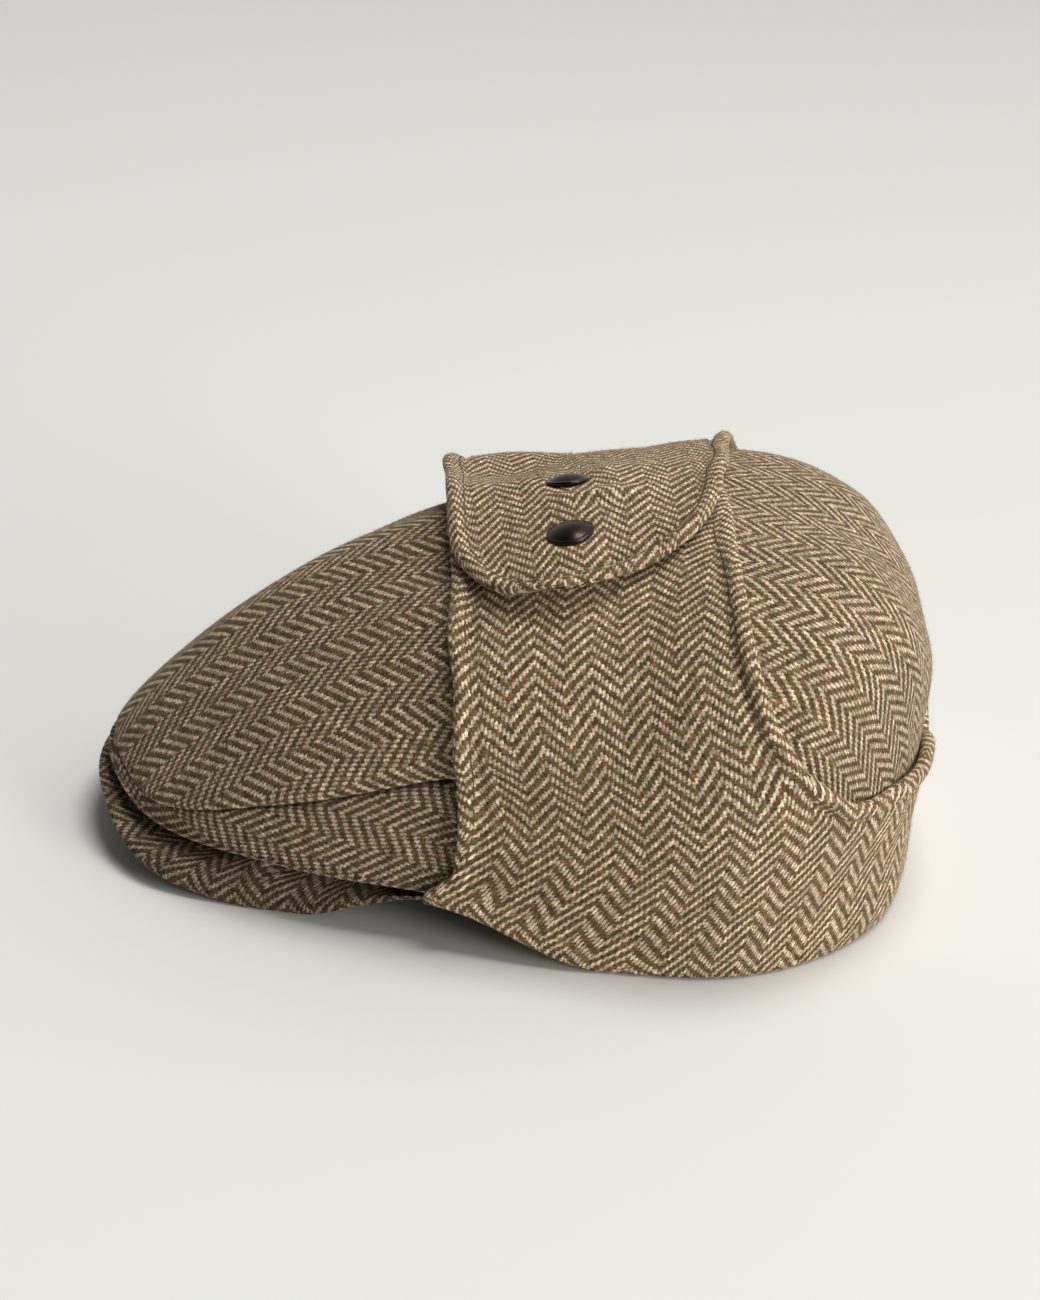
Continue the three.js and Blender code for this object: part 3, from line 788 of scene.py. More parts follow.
# The cloth's upper and lower sides, at rows and shares of the same shape
def makeFlapSides(climbs, lumpSeed):
    outline = freeOutline(climbs)

    def hemStrength(row):
        if climbs:
            return 1 + 0 * row
        hem = flapHem(row)
        covered = fade(hem.real, flapSettings["coverStart"], flapSettings["coverEnd"])
        covered = np.where(np.abs(hem) < capSizes["shoulderCircle"], covered, 0)
        return mix(1, flapSettings["coverHem"], covered)

    def sides(row, share):
        place = flapPlace(row, share)
        bottom = flapBottom(place, row, share, climbs)
        middle = patternPoint(place, bottom + flapCloth / 2)
        away = np.array([outline.find(point)[2] for point in middle.reshape(-1, 3)]).reshape(row.shape)
        onEdge = (share > 0.5) & (row < flapKnots)
        stand = np.where(onEdge, ease(1 - away / flapSettings["edgeRun"]), 0)
        bottom = bottom + flapSettings["edgeStand"] * stand
        half = (flapCloth + hemProud(away) * hemStrength(row)) / 2
        toRound = np.clip(away / flapSettings["hemRound"], 0, 1)
        roundOff = np.sqrt(np.clip(1 - (1 - toRound) ** 2, 0, 1))
        swell = softLumps(middle, flapSettings["lumps"], lumpSeed) * ease(away / flapSettings["lumpRun"])
        atBack = middle[..., 1] > capSizes["apexAlong"]
        swell = swell * np.where(atBack, ease(np.abs(middle[..., 0]) / flapSettings["backSeam"]), 1)
        swell = swell - creaseDepth(place)
        if climbs:
            swell = swell + snapDip(place)
        under = np.minimum(swell, 0) * flapSettings["lumpUnder"]
        upper = patternPoint(place, bottom + half * (1 + roundOff) + swell)
        return upper, patternPoint(place, bottom + half * (1 - roundOff) + under)

    return sides


# Carries the map on past an edge by the cloth's own length
def carryOn(spots, points, first):
    outward = spots[first] - spots[first - 2]
    return spots[first] + outward / abs(outward) * runLength(points[first:])[1:]


def rowPoint(points, distance):
    path = runLength(points)
    return [np.interp(distance, path, points[:, axis]) for axis in range(3)]


# How far the picks are drawn in where the near flap bends over the crown
def picksCloser(height):
    soft = flapSettings["closerSoft"]
    return soft * np.logaddexp(0, (height - flapSettings["closerFrom"]) / soft)


def makeFlap(name, kind):
    flapSides = makeFlapSides(kind["climbs"], kind["seed"])
    mirror = np.array((kind["side"], 1, 1))
    loops, weave, hemLine, edgeLine = [], [], [], []
    rows = flapRowPlaces()
    turns = np.radians(np.linspace(*flapSettings["edgeTurns"]))
    ends = np.array(flapSettings["endInsets"])
    inset = flapSettings["stitchInset"]
    stitchPath = flapSettings["stitchPath"]
    atSeam = int(np.argmin(np.abs(ends - inset)))
    edgeSeam = -(1 + np.count_nonzero((ends > flapSettings["hemRound"]) & (ends < inset)))
    for row in rows:
        length = float(abs(rowEdge(row) - flapHem(row)))
        shares, roundShare = columnShares(length)
        every = np.concatenate([shares, 1 - roundShare * (1 - np.sin(turns))])
        upper, lower = flapSides(np.full(len(every), row), every)
        count = len(shares)
        half = count + len(turns) // 2
        turn = np.concatenate([upper[count:half], lower[half:]])
        if row >= flapKnots:
            turn = np.array(foldTurn(row))
        top = np.concatenate([upper[:count], turn])
        first = count + edgeSeam
        spots = flapWeave(np.full(count, row), shares)
        spots = np.concatenate([spots[: first + 1], carryOn(spots, top, first)])
        hemSpots = carryOn(spots[: atSeam + 3][::-1], top[: atSeam + 3][::-1], 2)
        spots[:atSeam] = hemSpots[::-1]
        hemLine.append(rowPoint(top[:half], stitchPath))
        edgeLine.append(rowPoint(top[:half][::-1], stitchPath))
        loops.append(np.concatenate([top, lower[1:count][::-1]]))
        weave.append(np.concatenate([spots, spots[1:count][::-1]]))
    points = np.array(loops) * mirror
    weave = np.array(weave) * kind["finer"] * np.exp(1j * math.radians(kind["turn"]))
    weave = weave + 1j * (kind["closer"] * picksCloser(weave.imag))
    weave = weave.real * kind["side"] + 1j * weave.imag
    nap = firstColumns(points, count + flapSettings["edgeNap"])
    # the stitched line: up the hem, across the tip and down the front edge
    tipRow = flapSettings["tipStitchRow"]
    freeRows = int(np.count_nonzero(rows < flapKnots))
    across = loops[tipRow][:half]
    path = runLength(across)
    inside = (path > stitchPath) & (path < path[-1] - stitchPath)
    seam = np.concatenate([hemLine[tipRow:][::-1], across[inside], edgeLine[tipRow : freeRows - 1]])
    return clothPiece(name, points, weave, nap, sectionFaces(points, (-1,))), sagged(seam * mirror)


flaps = {name: makeFlap(name, kind) for name, kind in flapKinds.items()}
flapLeft, seamLeft = flaps["earFlapLeft"]
flapRight, seamRight = flaps["earFlapRight"]
print("flaps:", len(flapLeft.data.polygons), "faces each")


# Node helpers: terms are sockets to link or plain values, by an input's name or number
def feed(tree, node, terms):
    for key, term in terms.items():
        if isinstance(term, bpy.types.NodeSocket):
            tree.links.new(term, node.inputs[key])
        else:
            node.inputs[key].default_value = term
    return node


def addNode(tree, kind, terms, **options):
    node = tree.nodes.new(kind)
    for option, value in options.items():
        setattr(node, option, value)
    return feed(tree, node, terms)


def mathNode(tree, operation, *terms):
    return addNode(tree, "ShaderNodeMath", dict(enumerate(terms)), operation=operation).outputs[0]


def tint(tree, first, second, blend="MULTIPLY", share=1.0):
    terms = {0: share, 6: first, 7: second}
    return addNode(tree, "ShaderNodeMix", terms, data_type="RGBA", blend_type=blend).outputs[2]


def noiseNode(tree, place, scale, detail=2.0, roughness=0.5):
    terms = {"Vector": place, "Scale": scale, "Detail": detail, "Roughness": roughness}
    return addNode(tree, "ShaderNodeTexNoise", terms).outputs


def joinVector(tree, *parts):
    return addNode(tree, "ShaderNodeCombineXYZ", dict(enumerate(parts))).outputs[0]


def splitVector(tree, vector):
    return addNode(tree, "ShaderNodeSeparateXYZ", {0: vector}).outputs


def colourRamp(tree, share, stops):
    node = addNode(tree, "ShaderNodeValToRGB", {0: share})
    points = node.color_ramp.elements
    while len(points) < len(stops):
        points.new(0.5)
    for point, (place, colour) in zip(points, stops):
        point.position = place
        point.color = (*colour, 1)
    return node.outputs[0]


def newMaterial(name):
    material = bpy.data.materials.new(name)
    material.use_nodes = True
    return material, material.node_tree, material.node_tree.nodes["Principled BSDF"]


# Herringbone weave: two up, two down, turned every stripe; the place is in centimetres on the cloth
weaveInputs = {
    "End Pitch": 0.1065,
    "Pick Pitch": 0.107,
    "Stripe Ends": 8.0,
    "Wander": 0.14,
    "Fray": 0.14,
    "Twist": 0.25,
}
weaveSettings = {
    "wanderScale": 0.45,
    "frayScale": 15.0,
    "arch": 0.4,
    "weftHeight": 0.75,
    "warpShows": (-0.03, 0.34),
    "warpHeather": (7.31, 0.11, 0.0),  # steps between yarns and along one, and the noise's layer
    "weftHeather": (0.11, 5.77, 40.0),
    "stray": 0.1,
}


def makeWeaveGroup(sizes, settings):
    tree = bpy.data.node_groups.new("herringboneWeave", "ShaderNodeTree")
    tree.interface.new_socket(name="Place", in_out="INPUT", socket_type="NodeSocketVector")
    for label, value in sizes.items():
        socket = tree.interface.new_socket(name=label, in_out="INPUT", socket_type="NodeSocketFloat")
        socket.default_value = value
    for label in ("Warp", "Height", "Float Tone", "Warp Heather", "Weft Heather"):
        tree.interface.new_socket(name=label, in_out="OUTPUT", socket_type="NodeSocketFloat")
    given = tree.nodes.new("NodeGroupInput").outputs
    calc = partial(mathNode, tree)
    place = splitVector(tree, given["Place"])
    slow = splitVector(tree, noiseNode(tree, given["Place"], settings["wanderScale"])["Color"])
    fine = splitVector(tree, noiseNode(tree, given["Place"], settings["frayScale"], 2.0, 0.6)["Color"])

    def counted(axis, pitch):
        moved = place[axis]
        for noise, amount in ((slow, "Wander"), (fine, "Fray")):
            shift = calc("MULTIPLY", calc("SUBTRACT", noise[axis], 0.5), given[amount])
            moved = calc("ADD", moved, shift)
        count = calc("DIVIDE", moved, given[pitch])
        whole = calc("FLOOR", count)
        return count, whole, calc("SUBTRACT", count, whole)

    across, end, inEnd = counted(0, "End Pitch")
    along, pick, inPick = counted(1, "Pick Pitch")
    stripe = calc("FLOOR", calc("DIVIDE", end, given["Stripe Ends"]))
    turned = calc("FLOORED_MODULO", stripe, 2.0)
    lean = calc("MULTIPLY_ADD", turned, -2.0, 1.0)
    diagonal = calc("SUBTRACT", pick, calc("MULTIPLY", lean, end))
    step = calc("FLOORED_MODULO", diagonal, 4.0)
    warp = calc("LESS_THAN", step, 1.5)

    # a float's rounded height, from its place along the float and across the yarn
    def rounded(alongFloat, acrossYarn):
        side = calc("MULTIPLY_ADD", acrossYarn, 2.0, -1.0)
        profile = calc("SUBTRACT", 1.0, calc("MULTIPLY", side, side))
        profile = calc("SQRT", calc("MAXIMUM", profile, 0.0))
        arch = calc("SINE", calc("MULTIPLY", alongFloat, math.pi))
        arch = calc("POWER", calc("MAXIMUM", arch, 0.0), settings["arch"])
        return calc("MULTIPLY", profile, arch)

    warpAlong = calc("DIVIDE", calc("ADD", step, inPick), 2.0)
    twist = calc("MULTIPLY", calc("SUBTRACT", warpAlong, 0.5), given["Twist"])
    warpHeight = calc("MULTIPLY", warp, rounded(warpAlong, calc("SUBTRACT", inEnd, twist)))
    forward = calc("MULTIPLY", calc("SUBTRACT", 3.0, step), calc("SUBTRACT", 1.0, turned))
    backward = calc("MULTIPLY", calc("SUBTRACT", step, 2.0), turned)
    weftAlong = calc("ADD", calc("ADD", forward, backward), inEnd)
    weftHeight = rounded(calc("DIVIDE", weftAlong, 2.0), inPick)
    weftHeight = calc("MULTIPLY", calc("SUBTRACT", 1.0, warp), weftHeight)
    height = calc("ADD", warpHeight, calc("MULTIPLY", weftHeight, settings["weftHeight"]))
    least, most = settings["warpShows"]
    terms = {"Value": warpHeight, "From Min": least, "From Max": most}
    shown = addNode(tree, "ShaderNodeMapRange", terms, interpolation_type="SMOOTHSTEP")
    # each float's own tone, and the slow change of colour along each yarn
    floatCount = calc("FLOOR", calc("DIVIDE", diagonal, 4.0))
    tone = addNode(tree, "ShaderNodeTexWhiteNoise", {"Vector": joinVector(tree, end, floatCount, warp)})
    tone = tone.outputs["Value"]
    strayed = calc("MULTIPLY_ADD", tone, settings["stray"], -settings["stray"] / 2)

    def heather(x, y, sizes):
        yarn = joinVector(tree, calc("MULTIPLY", x, sizes[0]), calc("MULTIPLY", y, sizes[1]), sizes[2])
        return calc("ADD", noiseNode(tree, yarn, 1.0, 2.0, 0.6)["Fac"], strayed)

    results = {
        "Warp": shown.outputs["Result"],
        "Height": height,
        "Float Tone": tone,
        "Warp Heather": heather(end, along, settings["warpHeather"]),
        "Weft Heather": heather(across, pick, settings["weftHeather"]),
    }
    addNode(tree, "NodeGroupOutput", results)
    return tree


weaveGroup = makeWeaveGroup(weaveInputs, weaveSettings)

# Yarn colours along the heather: cream warp with olive and rose, brown weft with olive and rust
warpStops = (
    (0.34, (0.43, 0.36, 0.225)),
    (0.42, (0.5, 0.42, 0.3)),
    (0.5, (0.57, 0.475, 0.365)),
    (0.58, (0.55, 0.445, 0.35)),
    (0.66, (0.5, 0.385, 0.31)),
)
weftStops = (
    (0.36, (0.175, 0.128, 0.036)),
    (0.43, (0.135, 0.085, 0.03)),
    (0.5, (0.105, 0.06, 0.024)),
    (0.57, (0.135, 0.068, 0.028)),
    (0.64, (0.19, 0.08, 0.036)),
)
dyeStops = (
    (0.32, (0.95, 0.98, 0.5)),
    (0.44, (1, 0.985, 0.93)),
    (0.56, (1, 0.98, 0.96)),
    (0.69, (1, 0.76, 0.76)),
)
tweedSettings = {
    # painted light and shade for each piece: lit and shaded copies of one cloth, painted shade darkens
    # the peak and side panels, painted light brightens the flaps
    "toneAndPaintedShade": {"crownTweed": 1.03, "sideTweed": 0.86, "peakTweed": 0.54, "flapTweed": 1.24},
    "warpOver": (0.9, 0.04),  # gain and base: fibres of each yarn lie over the other
    "paintedGapShade": (0.75, 0.45),  # painted shade, darker between the floats
    "floatTone": (0.5, 0.75),
    "fibre": {"noise": (45.0, 3.0, 0.7), "tone": (1.0, 0.5)},  # scale, detail and roughness
    "broad": {"noise": (0.35, 2.0, 0.5), "tone": (0.3, 0.85)},
    "fleck": {"noise": (11.0, 4.0, 0.8), "tone": (5, -1.5), "least": 0.3},
    "patch": {"noise": (3.2, 2.0, 0.6), "tone": (1.5, 0.25)},
    "dye": (5.5, 3.0, 0.65),
    "relief": 0.6,
    "bump": 0.6,
    "bumpDepth": 0.0004,
    "rough": (0.1, 0.85),
}
tweedConstants = {
    "Specular IOR Level": 0.15,
    "Sheen Weight": 0.04,
    "Sheen Roughness": 0.5,
    "Sheen Tint": (1, 0.92, 0.8, 1),
}


def makeTweed(name, settings):
    material, tree, shader = newMaterial(name)
    calc = partial(mathNode, tree)
    place = addNode(tree, "ShaderNodeUVMap", {}, uv_map="weave").outputs[0]
    weave = tree.nodes.new("ShaderNodeGroup")
    weave.node_tree = weaveGroup
    tree.links.new(place, weave.inputs["Place"])
    weave = weave.outputs
    warpColour = colourRamp(tree, weave["Warp Heather"], warpStops)
    weftColour = colourRamp(tree, weave["Weft Heather"], weftStops)
    warpShare = calc("MULTIPLY_ADD", weave["Warp"], *settings["warpOver"])
    yarns = tint(tree, weftColour, warpColour, "MIX", warpShare)
    # painted shade: the weave's low places between the floats are darkened in the colour
    paintedGapShade = calc("MULTIPLY_ADD", weave["Height"], *settings["paintedGapShade"])
    tone = calc("MULTIPLY_ADD", weave["Float Tone"], *settings["floatTone"])
    # painted light and shade for each piece, on top of the painted shade between the floats
    toneAndPaintedShade = calc("MULTIPLY", calc("MULTIPLY", paintedGapShade, tone), settings["toneAndPaintedShade"][name])
    # stray fibres, a broad unevenness, flecks and patches
    noises = {}
    for layer in ("fibre", "broad", "fleck", "patch"):
        noises[layer] = noiseNode(tree, place, *settings[layer]["noise"])["Fac"]
        layerShade = calc("MULTIPLY_ADD", noises[layer], *settings[layer]["tone"])
        layerShade = calc("MAXIMUM", layerShade, settings[layer].get("least", 0))
        toneAndPaintedShade = calc("MULTIPLY", toneAndPaintedShade, layerShade)
    colour = tint(tree, yarns, joinVector(tree, toneAndPaintedShade, toneAndPaintedShade, toneAndPaintedShade))
    dyed = noiseNode(tree, place, *settings["dye"])["Fac"]
    colour = tint(tree, colour, colourRamp(tree, dyed, dyeStops))
    relief = calc("MULTIPLY_ADD", noises["fibre"], settings["relief"], weave["Height"])
    terms = {"Strength": settings["bump"], "Distance": settings["bumpDepth"], "Height": relief}
    bump = addNode(tree, "ShaderNodeBump", terms)
    rough = calc("MULTIPLY_ADD", noises["fibre"], *settings["rough"])
    feed(tree, shader, {"Base Color": colour, "Roughness": rough, "Normal": bump.outputs[0]})
    feed(tree, shader, tweedConstants)
    return material


# lit and shaded copies of the one tweed, each with its own painted light or shade
tweedPieces = {
    "crownTweed": (crownTop,),
    "sideTweed": (sideLeft, sideRight),
    "peakTweed": (peakBrim,),
    "flapTweed": (flapLeft, flapRight),
}
for name, pieces in tweedPieces.items():
    tweed = makeTweed(name, tweedSettings)
    for piece in pieces:
        piece.data.materials.append(tweed)
print("tweed on", sum(len(pieces) for pieces in tweedPieces.values()), "pieces")


# Wool, thread and metal: colour and roughness uneven from one fine noise
def makeFlecked(name, finish):
    material, tree, shader = newMaterial(name)
    place = addNode(tree, "ShaderNodeTexCoord", {}).outputs["Object"]
    fleck = noiseNode(tree, place, *finish["noise"])["Fac"]
    rough = mathNode(tree, "MULTIPLY_ADD", fleck, *finish["rough"])
    feed(tree, shader, {"Base Color": colourRamp(tree, fleck, finish["stops"]), "Roughness": rough})
    feed(tree, shader, {"Specular IOR Level": finish["specular"], "Metallic": finish["metal"]})
    return material


# Geometry Nodes helpers: a tree with named inputs, its end, and a plain mesh of what it makes
def nodeTree(name, inputs):
    tree = bpy.data.node_groups.new(name, "GeometryNodeTree")
    tree.interface.new_socket(name="Geometry", in_out="INPUT", socket_type="NodeSocketGeometry")
    for label, kind in inputs.items():
        tree.interface.new_socket(name=label, in_out="INPUT", socket_type="NodeSocket" + kind)
    tree.interface.new_socket(name="Geometry", in_out="OUTPUT", socket_type="NodeSocketGeometry")
    return tree, tree.nodes.new("NodeGroupInput").outputs


def endTree(tree, instances, material):
    real = addNode(tree, "GeometryNodeRealizeInstances", {"Geometry": instances})
    done = addNode(tree, "GeometryNodeSetMaterial", {"Geometry": real.outputs[0], "Material": material})
    addNode(tree, "NodeGroupOutput", {"Geometry": done.outputs[0]})
    return tree


def meshFromNodes(name, carrier, tree, values):
    modifier = carrier.modifiers.new(name, "NODES")
    modifier.node_group = tree
    for item in tree.interface.items_tree:
        if item.in_out == "INPUT" and item.name in values:
            modifier[item.identifier] = values[item.name]
    graph = bpy.context.evaluated_depsgraph_get()
    mesh = bpy.data.meshes.new_from_object(carrier.evaluated_get(graph))
    mesh.name = name
    carrier.modifiers.remove(modifier)
    return addObject(name, mesh)


# Wool fibres that stand off the cloth
napSettings = {
    "width": 0.05,  # of a fibre one millimetre high
    "bend": 0.16,
    "bendHeight": 0.55,
    "bendWidth": 0.7,
    "tip": 0.5,
    "leastSize": 0.45,  # heights in millimetres
    "mostSize": 1.4,
    "lean": 1.25,
    "seed": 17,
    "density": {"crown": 650000, "flap": 1000000},  # for each square metre
}
woolFinish = {
    "noise": (900.0, 2.0, 0.6),
    "stops": (
        (0.3, (0.2, 0.145, 0.06)),
        (0.45, (0.36, 0.28, 0.16)),
        (0.58, (0.46, 0.37, 0.25)),
        (0.7, (0.3, 0.19, 0.12)),
    ),
    "rough": (0.1, 0.8),
    "specular": 0.2,
    "metal": 0,
}


def makeFibre(settings):
    half = settings["width"] / 2
    bent = half * settings["bendWidth"]
    points = [(side * half, 0, 0) for side in (-1, 1)]
    points += [(side * bent, settings["bend"], settings["bendHeight"]) for side in (-1, 1)]
    points.append((0, settings["tip"], 1))
    return bpy.data.objects.new("fibre", newMesh("fibre", points, [(0, 1, 3, 2), (2, 3, 4)]))


def makeNapTree():
    kinds = {"Density": "Float", "Seed": "Int", "Least Size": "Float", "Most Size": "Float"}
    kinds |= {"Least Turn": "Vector", "Most Turn": "Vector", "Fibre": "Object", "Material": "Material"}
    tree, given = nodeTree("woolNap", kinds)
    seed = given["Seed"]
    napMask = addNode(tree, "GeometryNodeInputNamedAttribute", {"Name": "nap"}, data_type="FLOAT")
    density = mathNode(tree, "MULTIPLY", napMask.outputs["Attribute"], given["Density"])
    terms = {"Mesh": given["Geometry"], "Density": density, "Seed": seed}
    spread = addNode(tree, "GeometryNodeDistributePointsOnFaces", terms)
    fibre = addNode(tree, "GeometryNodeObjectInfo", {"Object": given["Fibre"]})
    terms = {2: given["Least Size"], 3: given["Most Size"], "Seed": seed}
    size = addNode(tree, "FunctionNodeRandomValue", terms)
    terms = {0: given["Least Turn"], 1: given["Most Turn"], "Seed": seed}
    turn = addNode(tree, "FunctionNodeRandomValue", terms, data_type="FLOAT_VECTOR")
    terms = {
        "Points": spread.outputs["Points"],
        "Instance": fibre.outputs["Geometry"],
        "Rotation": spread.outputs["Rotation"],
        "Scale": size.outputs[1],
    }
    grown = addNode(tree, "GeometryNodeInstanceOnPoints", terms)
    terms = {"Instances": grown.outputs[0], "Rotation": turn.outputs[0]}
    leaned = addNode(tree, "GeometryNodeRotateInstances", terms)
    return endTree(tree, leaned.outputs[0], given["Material"])


def makeNap(name, carrier, density, settings):
    lean = settings["lean"]
    values = {
        "Density": density,
        "Seed": settings["seed"],
        "Least Size": settings["leastSize"],
        "Most Size": settings["mostSize"],
        "Least Turn": (-lean, -lean, -math.pi),
        "Most Turn": (lean, lean, math.pi),
        "Fibre": fibre,
        "Material": woolFibre,
    }
    return meshFromNodes(name, carrier, napTree, values)


woolFibre = makeFlecked("woolFibre", woolFinish)
napTree = makeNapTree()
fibre = makeFibre(napSettings)
crownPieces = [crownTop, sideLeft, sideRight, peakBrim]
flapPieces = [flapLeft, flapRight]
napPieces = {}
for kind, pieces in (("crown", crownPieces), ("flap", flapPieces)):
    for piece in pieces:
        nap = makeNap(piece.name + "Nap", piece, napSettings["density"][kind], napSettings)
        napPieces[piece.name] = nap
bpy.data.objects.remove(fibre)
print("nap:", sum(len(nap.data.polygons) for nap in napPieces.values()) // 2, "fibres")

# The stitched line inside the flaps' hems
stitchSettings = {
    "pitch": 3.2,
    "length": 2.5,
    "radius": 0.27,
    "sides": 6,
    "along": (-1, -0.8, 0.8, 1),  # shares of half the length, and of the radius there
    "around": (0.35, 1, 1, 0.35),
}
threadFinish = {
    "noise": (1500.0, 2.0, 0.6),
    "stops": ((0.35, (0.09, 0.06, 0.034)), (0.65, (0.15, 0.105, 0.06))),
    "rough": (0.1, 0.8),
    "specular": 0.2,
    "metal": 0,
}


def makeStitch(settings):
    turn = np.linspace(0, 2 * math.pi, settings["sides"], endpoint=False)[:, None]
    along = settings["length"] / 2 * np.array(settings["along"])[None, :]
    radius = settings["radius"] * np.array(settings["around"])[None, :]
    parts = np.broadcast_arrays(along, radius * np.cos(turn), radius * np.sin(turn))
    points = np.stack(parts, axis=-1)
    rows, columns = points.shape[:2]
    faces = gridFaces(rows, columns, closeRows=True)
    for column in (0, columns - 1):
        faces.append(tuple(row * columns + column for row in range(rows)))
    mesh = newMesh("stitch", points, faces)
    closeMesh(mesh)
    return bpy.data.objects.new("stitch", mesh)


def makeStitchTree():
    kinds = {"Pitch": "Float", "Stitch": "Object", "Material": "Material"}
    tree, given = nodeTree("seamStitches", kinds)
    line = addNode(tree, "GeometryNodeMeshToCurve", {"Mesh": given["Geometry"]})
    terms = {"Curve": line.outputs[0], "Length": given["Pitch"]}
    spaced = addNode(tree, "GeometryNodeResampleCurve", terms, mode="LENGTH")
    heading = addNode(tree, "GeometryNodeInputTangent", {})
    aim = addNode(tree, "FunctionNodeAlignRotationToVector", {"Vector": heading.outputs[0]}, axis="X")
    stitch = addNode(tree, "GeometryNodeObjectInfo", {"Object": given["Stitch"]})
    terms = {
        "Points": spaced.outputs[0],
        "Instance": stitch.outputs["Geometry"],
        "Rotation": aim.outputs[0],
    }
    sewn = addNode(tree, "GeometryNodeInstanceOnPoints", terms)
    return endTree(tree, sewn.outputs[0], given["Material"])


def makeStitches(name, seam, settings):
    edges = [(i, i + 1) for i in range(len(seam) - 1)]
    line = addObject(name + "Line", newMesh(name + "Line", seam, [], edges))
    values = {"Pitch": settings["pitch"] * mm, "Stitch": stitch, "Material": sewingThread}
    piece = meshFromNodes(name, line, stitchTree, values)
    bpy.data.objects.remove(line)
    return piece


sewingThread = makeFlecked("sewingThread", threadFinish)
stitchTree = makeStitchTree()
stitch = makeStitch(stitchSettings)
stitchCorners = len(stitch.data.vertices)
stitchesLeft = makeStitches("earFlapLeftStitches", seamLeft, stitchSettings)
stitchesRight = makeStitches("earFlapRightStitches", seamRight, stitchSettings)
bpy.data.objects.remove(stitch)
counts = [len(piece.data.vertices) // stitchCorners for piece in (stitchesLeft, stitchesRight)]
print("stitches:", counts[0], "and", counts[1])

# Snap caps: a low dome with a turned rim, square to the cloth
snapSettings = {
    "radius": 7.5,
    "height": 3.2,
    "sides": 64,
    "probe": 5,  # how far out the cloth's slope is taken
    "lower": {"sink": 1.0, "tilt": 9},
    "upper": {"sink": 2.5, "tilt": 15},  # tipped away from the near side
    "section": (
        (0, -0.1), (0.84, -0.1), (0.93, -0.05), (0.985, 0.08), (1, 0.22), (0.985, 0.34), (0.95, 0.41),
        (0.905, 0.42), (0.87, 0.44), (0.82, 0.5), (0.72, 0.62), (0.58, 0.76), (0.42, 0.88), (0.25, 0.96),
        (0.1, 0.995), (0, 1),
    ),
}
metalFinish = {
    "noise": (420.0, 3.0, 0.6),
    "stops": ((0.3, (0.045, 0.033, 0.028)), (0.7, (0.058, 0.044, 0.038))),
    "rough": (0.05, 0.24),
    "specular": 0.5,
    "metal": 1,
}


def unit(vector):
    return vector / np.linalg.norm(vector)


def makeSnap(name, which, settings):
    place = snapPlaces[which]
    lift = gap + climbHeight + flapCloth + springRise(np.array(place), True)
    spot = -place.conjugate()
    probe = settings["probe"]
    corners = np.array([spot + probe, spot - probe, spot + probe * 1j, spot - probe * 1j, spot])
    east, west, south, north, centre = patternPoint(corners, lift)
    tilt = math.tan(math.radians(settings[which]["tilt"]))
    up = unit(unit(np.cross(east - west, south - north)) - (tilt, 0, 0))
    base = centre + up * (gap / 2 - settings[which]["sink"])
    section = np.array(settings["section"]) * (settings["radius"], settings["height"])
    turn = np.linspace(0, 2 * math.pi, settings["sides"], endpoint=False)[:, None]
    side = unit(np.cross(up, (0, 1, 0)))
    other = np.cross(up, side)
    out = np.cos(turn)[..., None] * side + np.sin(turn)[..., None] * other
    points = base + out * section[None, :, :1] + up * section[None, :, 1:]
    plain = np.zeros(points.shape[:2])
    return clothPiece(name, points, plain, plain, gridFaces(*plain.shape, closeRows=True))


snapLower = makeSnap("snapCapLower", "lower", snapSettings)
snapUpper = makeSnap("snapCapUpper", "upper", snapSettings)
snapMetal = makeFlecked("snapMetal", metalFinish)
for snap in (snapLower, snapUpper):
    snap.data.materials.append(snapMetal)
print("snaps: 2")

# Floor and light
floorSettings = {"size": 8, "colour": (0.785, 0.785, 0.765), "roughness": 0.7, "specular": 0.2}
lightSettings = {
    "above": {"place": (0, 0.47, 2.4), "size": 1.2, "power": 38.5, "colour": (1, 0.985, 0.96)},
    "side": {"place": (1.575, 1.745, 0.57), "size": 1.0, "power": 28, "colour": (1, 0.985, 0.96)},
}
lightAim = Vector((0, 0, 0.05))
worldLight = {"far": 0.65, "rear": 1.05, "colour": (1, 1, 0.985)}  # pale walls beyond and behind the cap


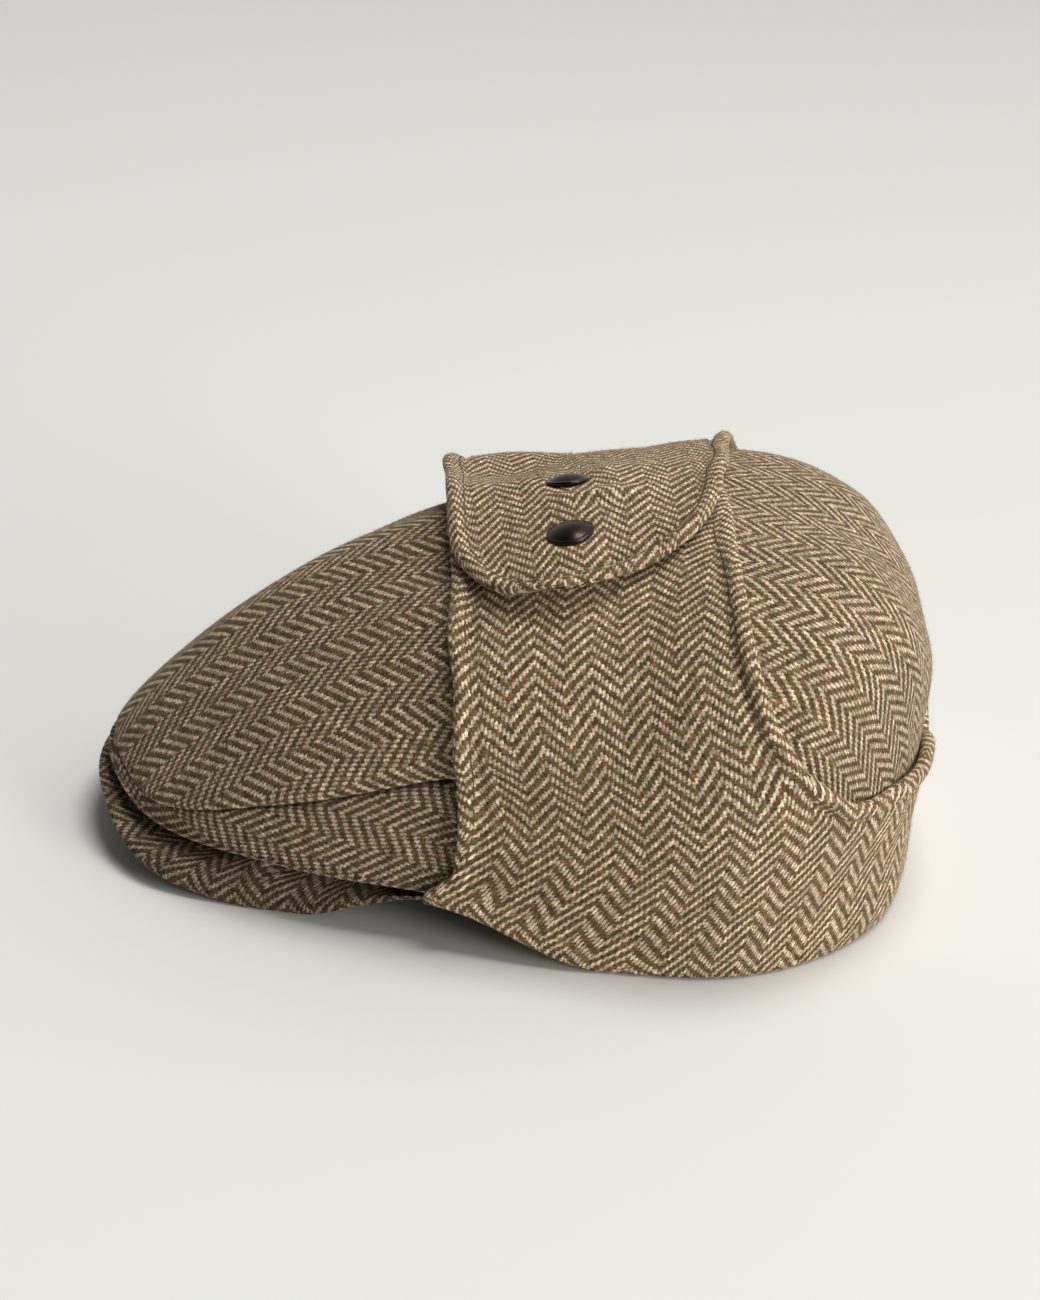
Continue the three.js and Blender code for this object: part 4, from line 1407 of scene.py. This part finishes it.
def makeFloor(settings):
    half = settings["size"] / 2
    mesh = bpy.data.meshes.new("floor")
    corners = [(-half, -half, 0), (half, -half, 0), (half, half, 0), (-half, half, 0)]
    mesh.from_pydata(corners, [], [(0, 1, 2, 3)])
    material, tree, shader = newMaterial("paleFloor")
    constants = {"Base Color": (*settings["colour"], 1), "Roughness": settings["roughness"]}
    feed(tree, shader, constants | {"Specular IOR Level": settings["specular"]})
    mesh.materials.append(material)
    addObject("floor", mesh)


def makeLight(name, settings):
    data = bpy.data.lights.new(name, "AREA")
    data.size = settings["size"]
    data.energy = settings["power"]
    data.color = settings["colour"]
    light = addObject(name, data)
    light.location = settings["place"]
    light.rotation_euler = (lightAim - light.location).to_track_quat("-Z", "Y").to_euler()


def makeWorld(settings):
    world = bpy.data.worlds.new("studio")
    world.use_nodes = True
    sky = world.node_tree
    calc = partial(mathNode, sky)
    toward = splitVector(sky, addNode(sky, "ShaderNodeTexCoord", {}).outputs["Generated"])
    far = calc("MAXIMUM", calc("MULTIPLY", toward[0], -1), 0)
    rear = calc("MAXIMUM", toward[1], 0)
    strength = calc("MULTIPLY_ADD", rear, settings["rear"], calc("MULTIPLY", far, settings["far"]))
    feed(sky, sky.nodes["Background"], {"Strength": strength, "Color": (*settings["colour"], 1)})
    scene.world = world


makeFloor(floorSettings)
for name, settings in lightSettings.items():
    makeLight(name, settings)
makeWorld(worldLight)
scene.view_settings.view_transform = "Standard"
print("floor and light")

# Each piece rides on the root, and the frame's parts that the pieces replace are hidden
stitches = [stitchesLeft, stitchesRight]
slots = {
    "crown_tweed": crownPieces + [napPieces[piece.name] for piece in crownPieces],
    "flap_tweed": flapPieces + [napPieces[piece.name] for piece in flapPieces] + stitches,
    "snap_metal": [snapLower, snapUpper],
}
for slot, pieces in slots.items():
    for piece in pieces:
        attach(piece, "root")
replaced = {
    "crown_top": crownTop,
    "crown_side_left": sideLeft,
    "crown_side_right": sideRight,
    "peak": peakBrim,
    "ear_flap_left": flapLeft,
    "ear_flap_right": flapRight,
    "snap_cap_lower": snapLower,
    "snap_cap_upper": snapUpper,
}
for node, piece in replaced.items():
    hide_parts(node)
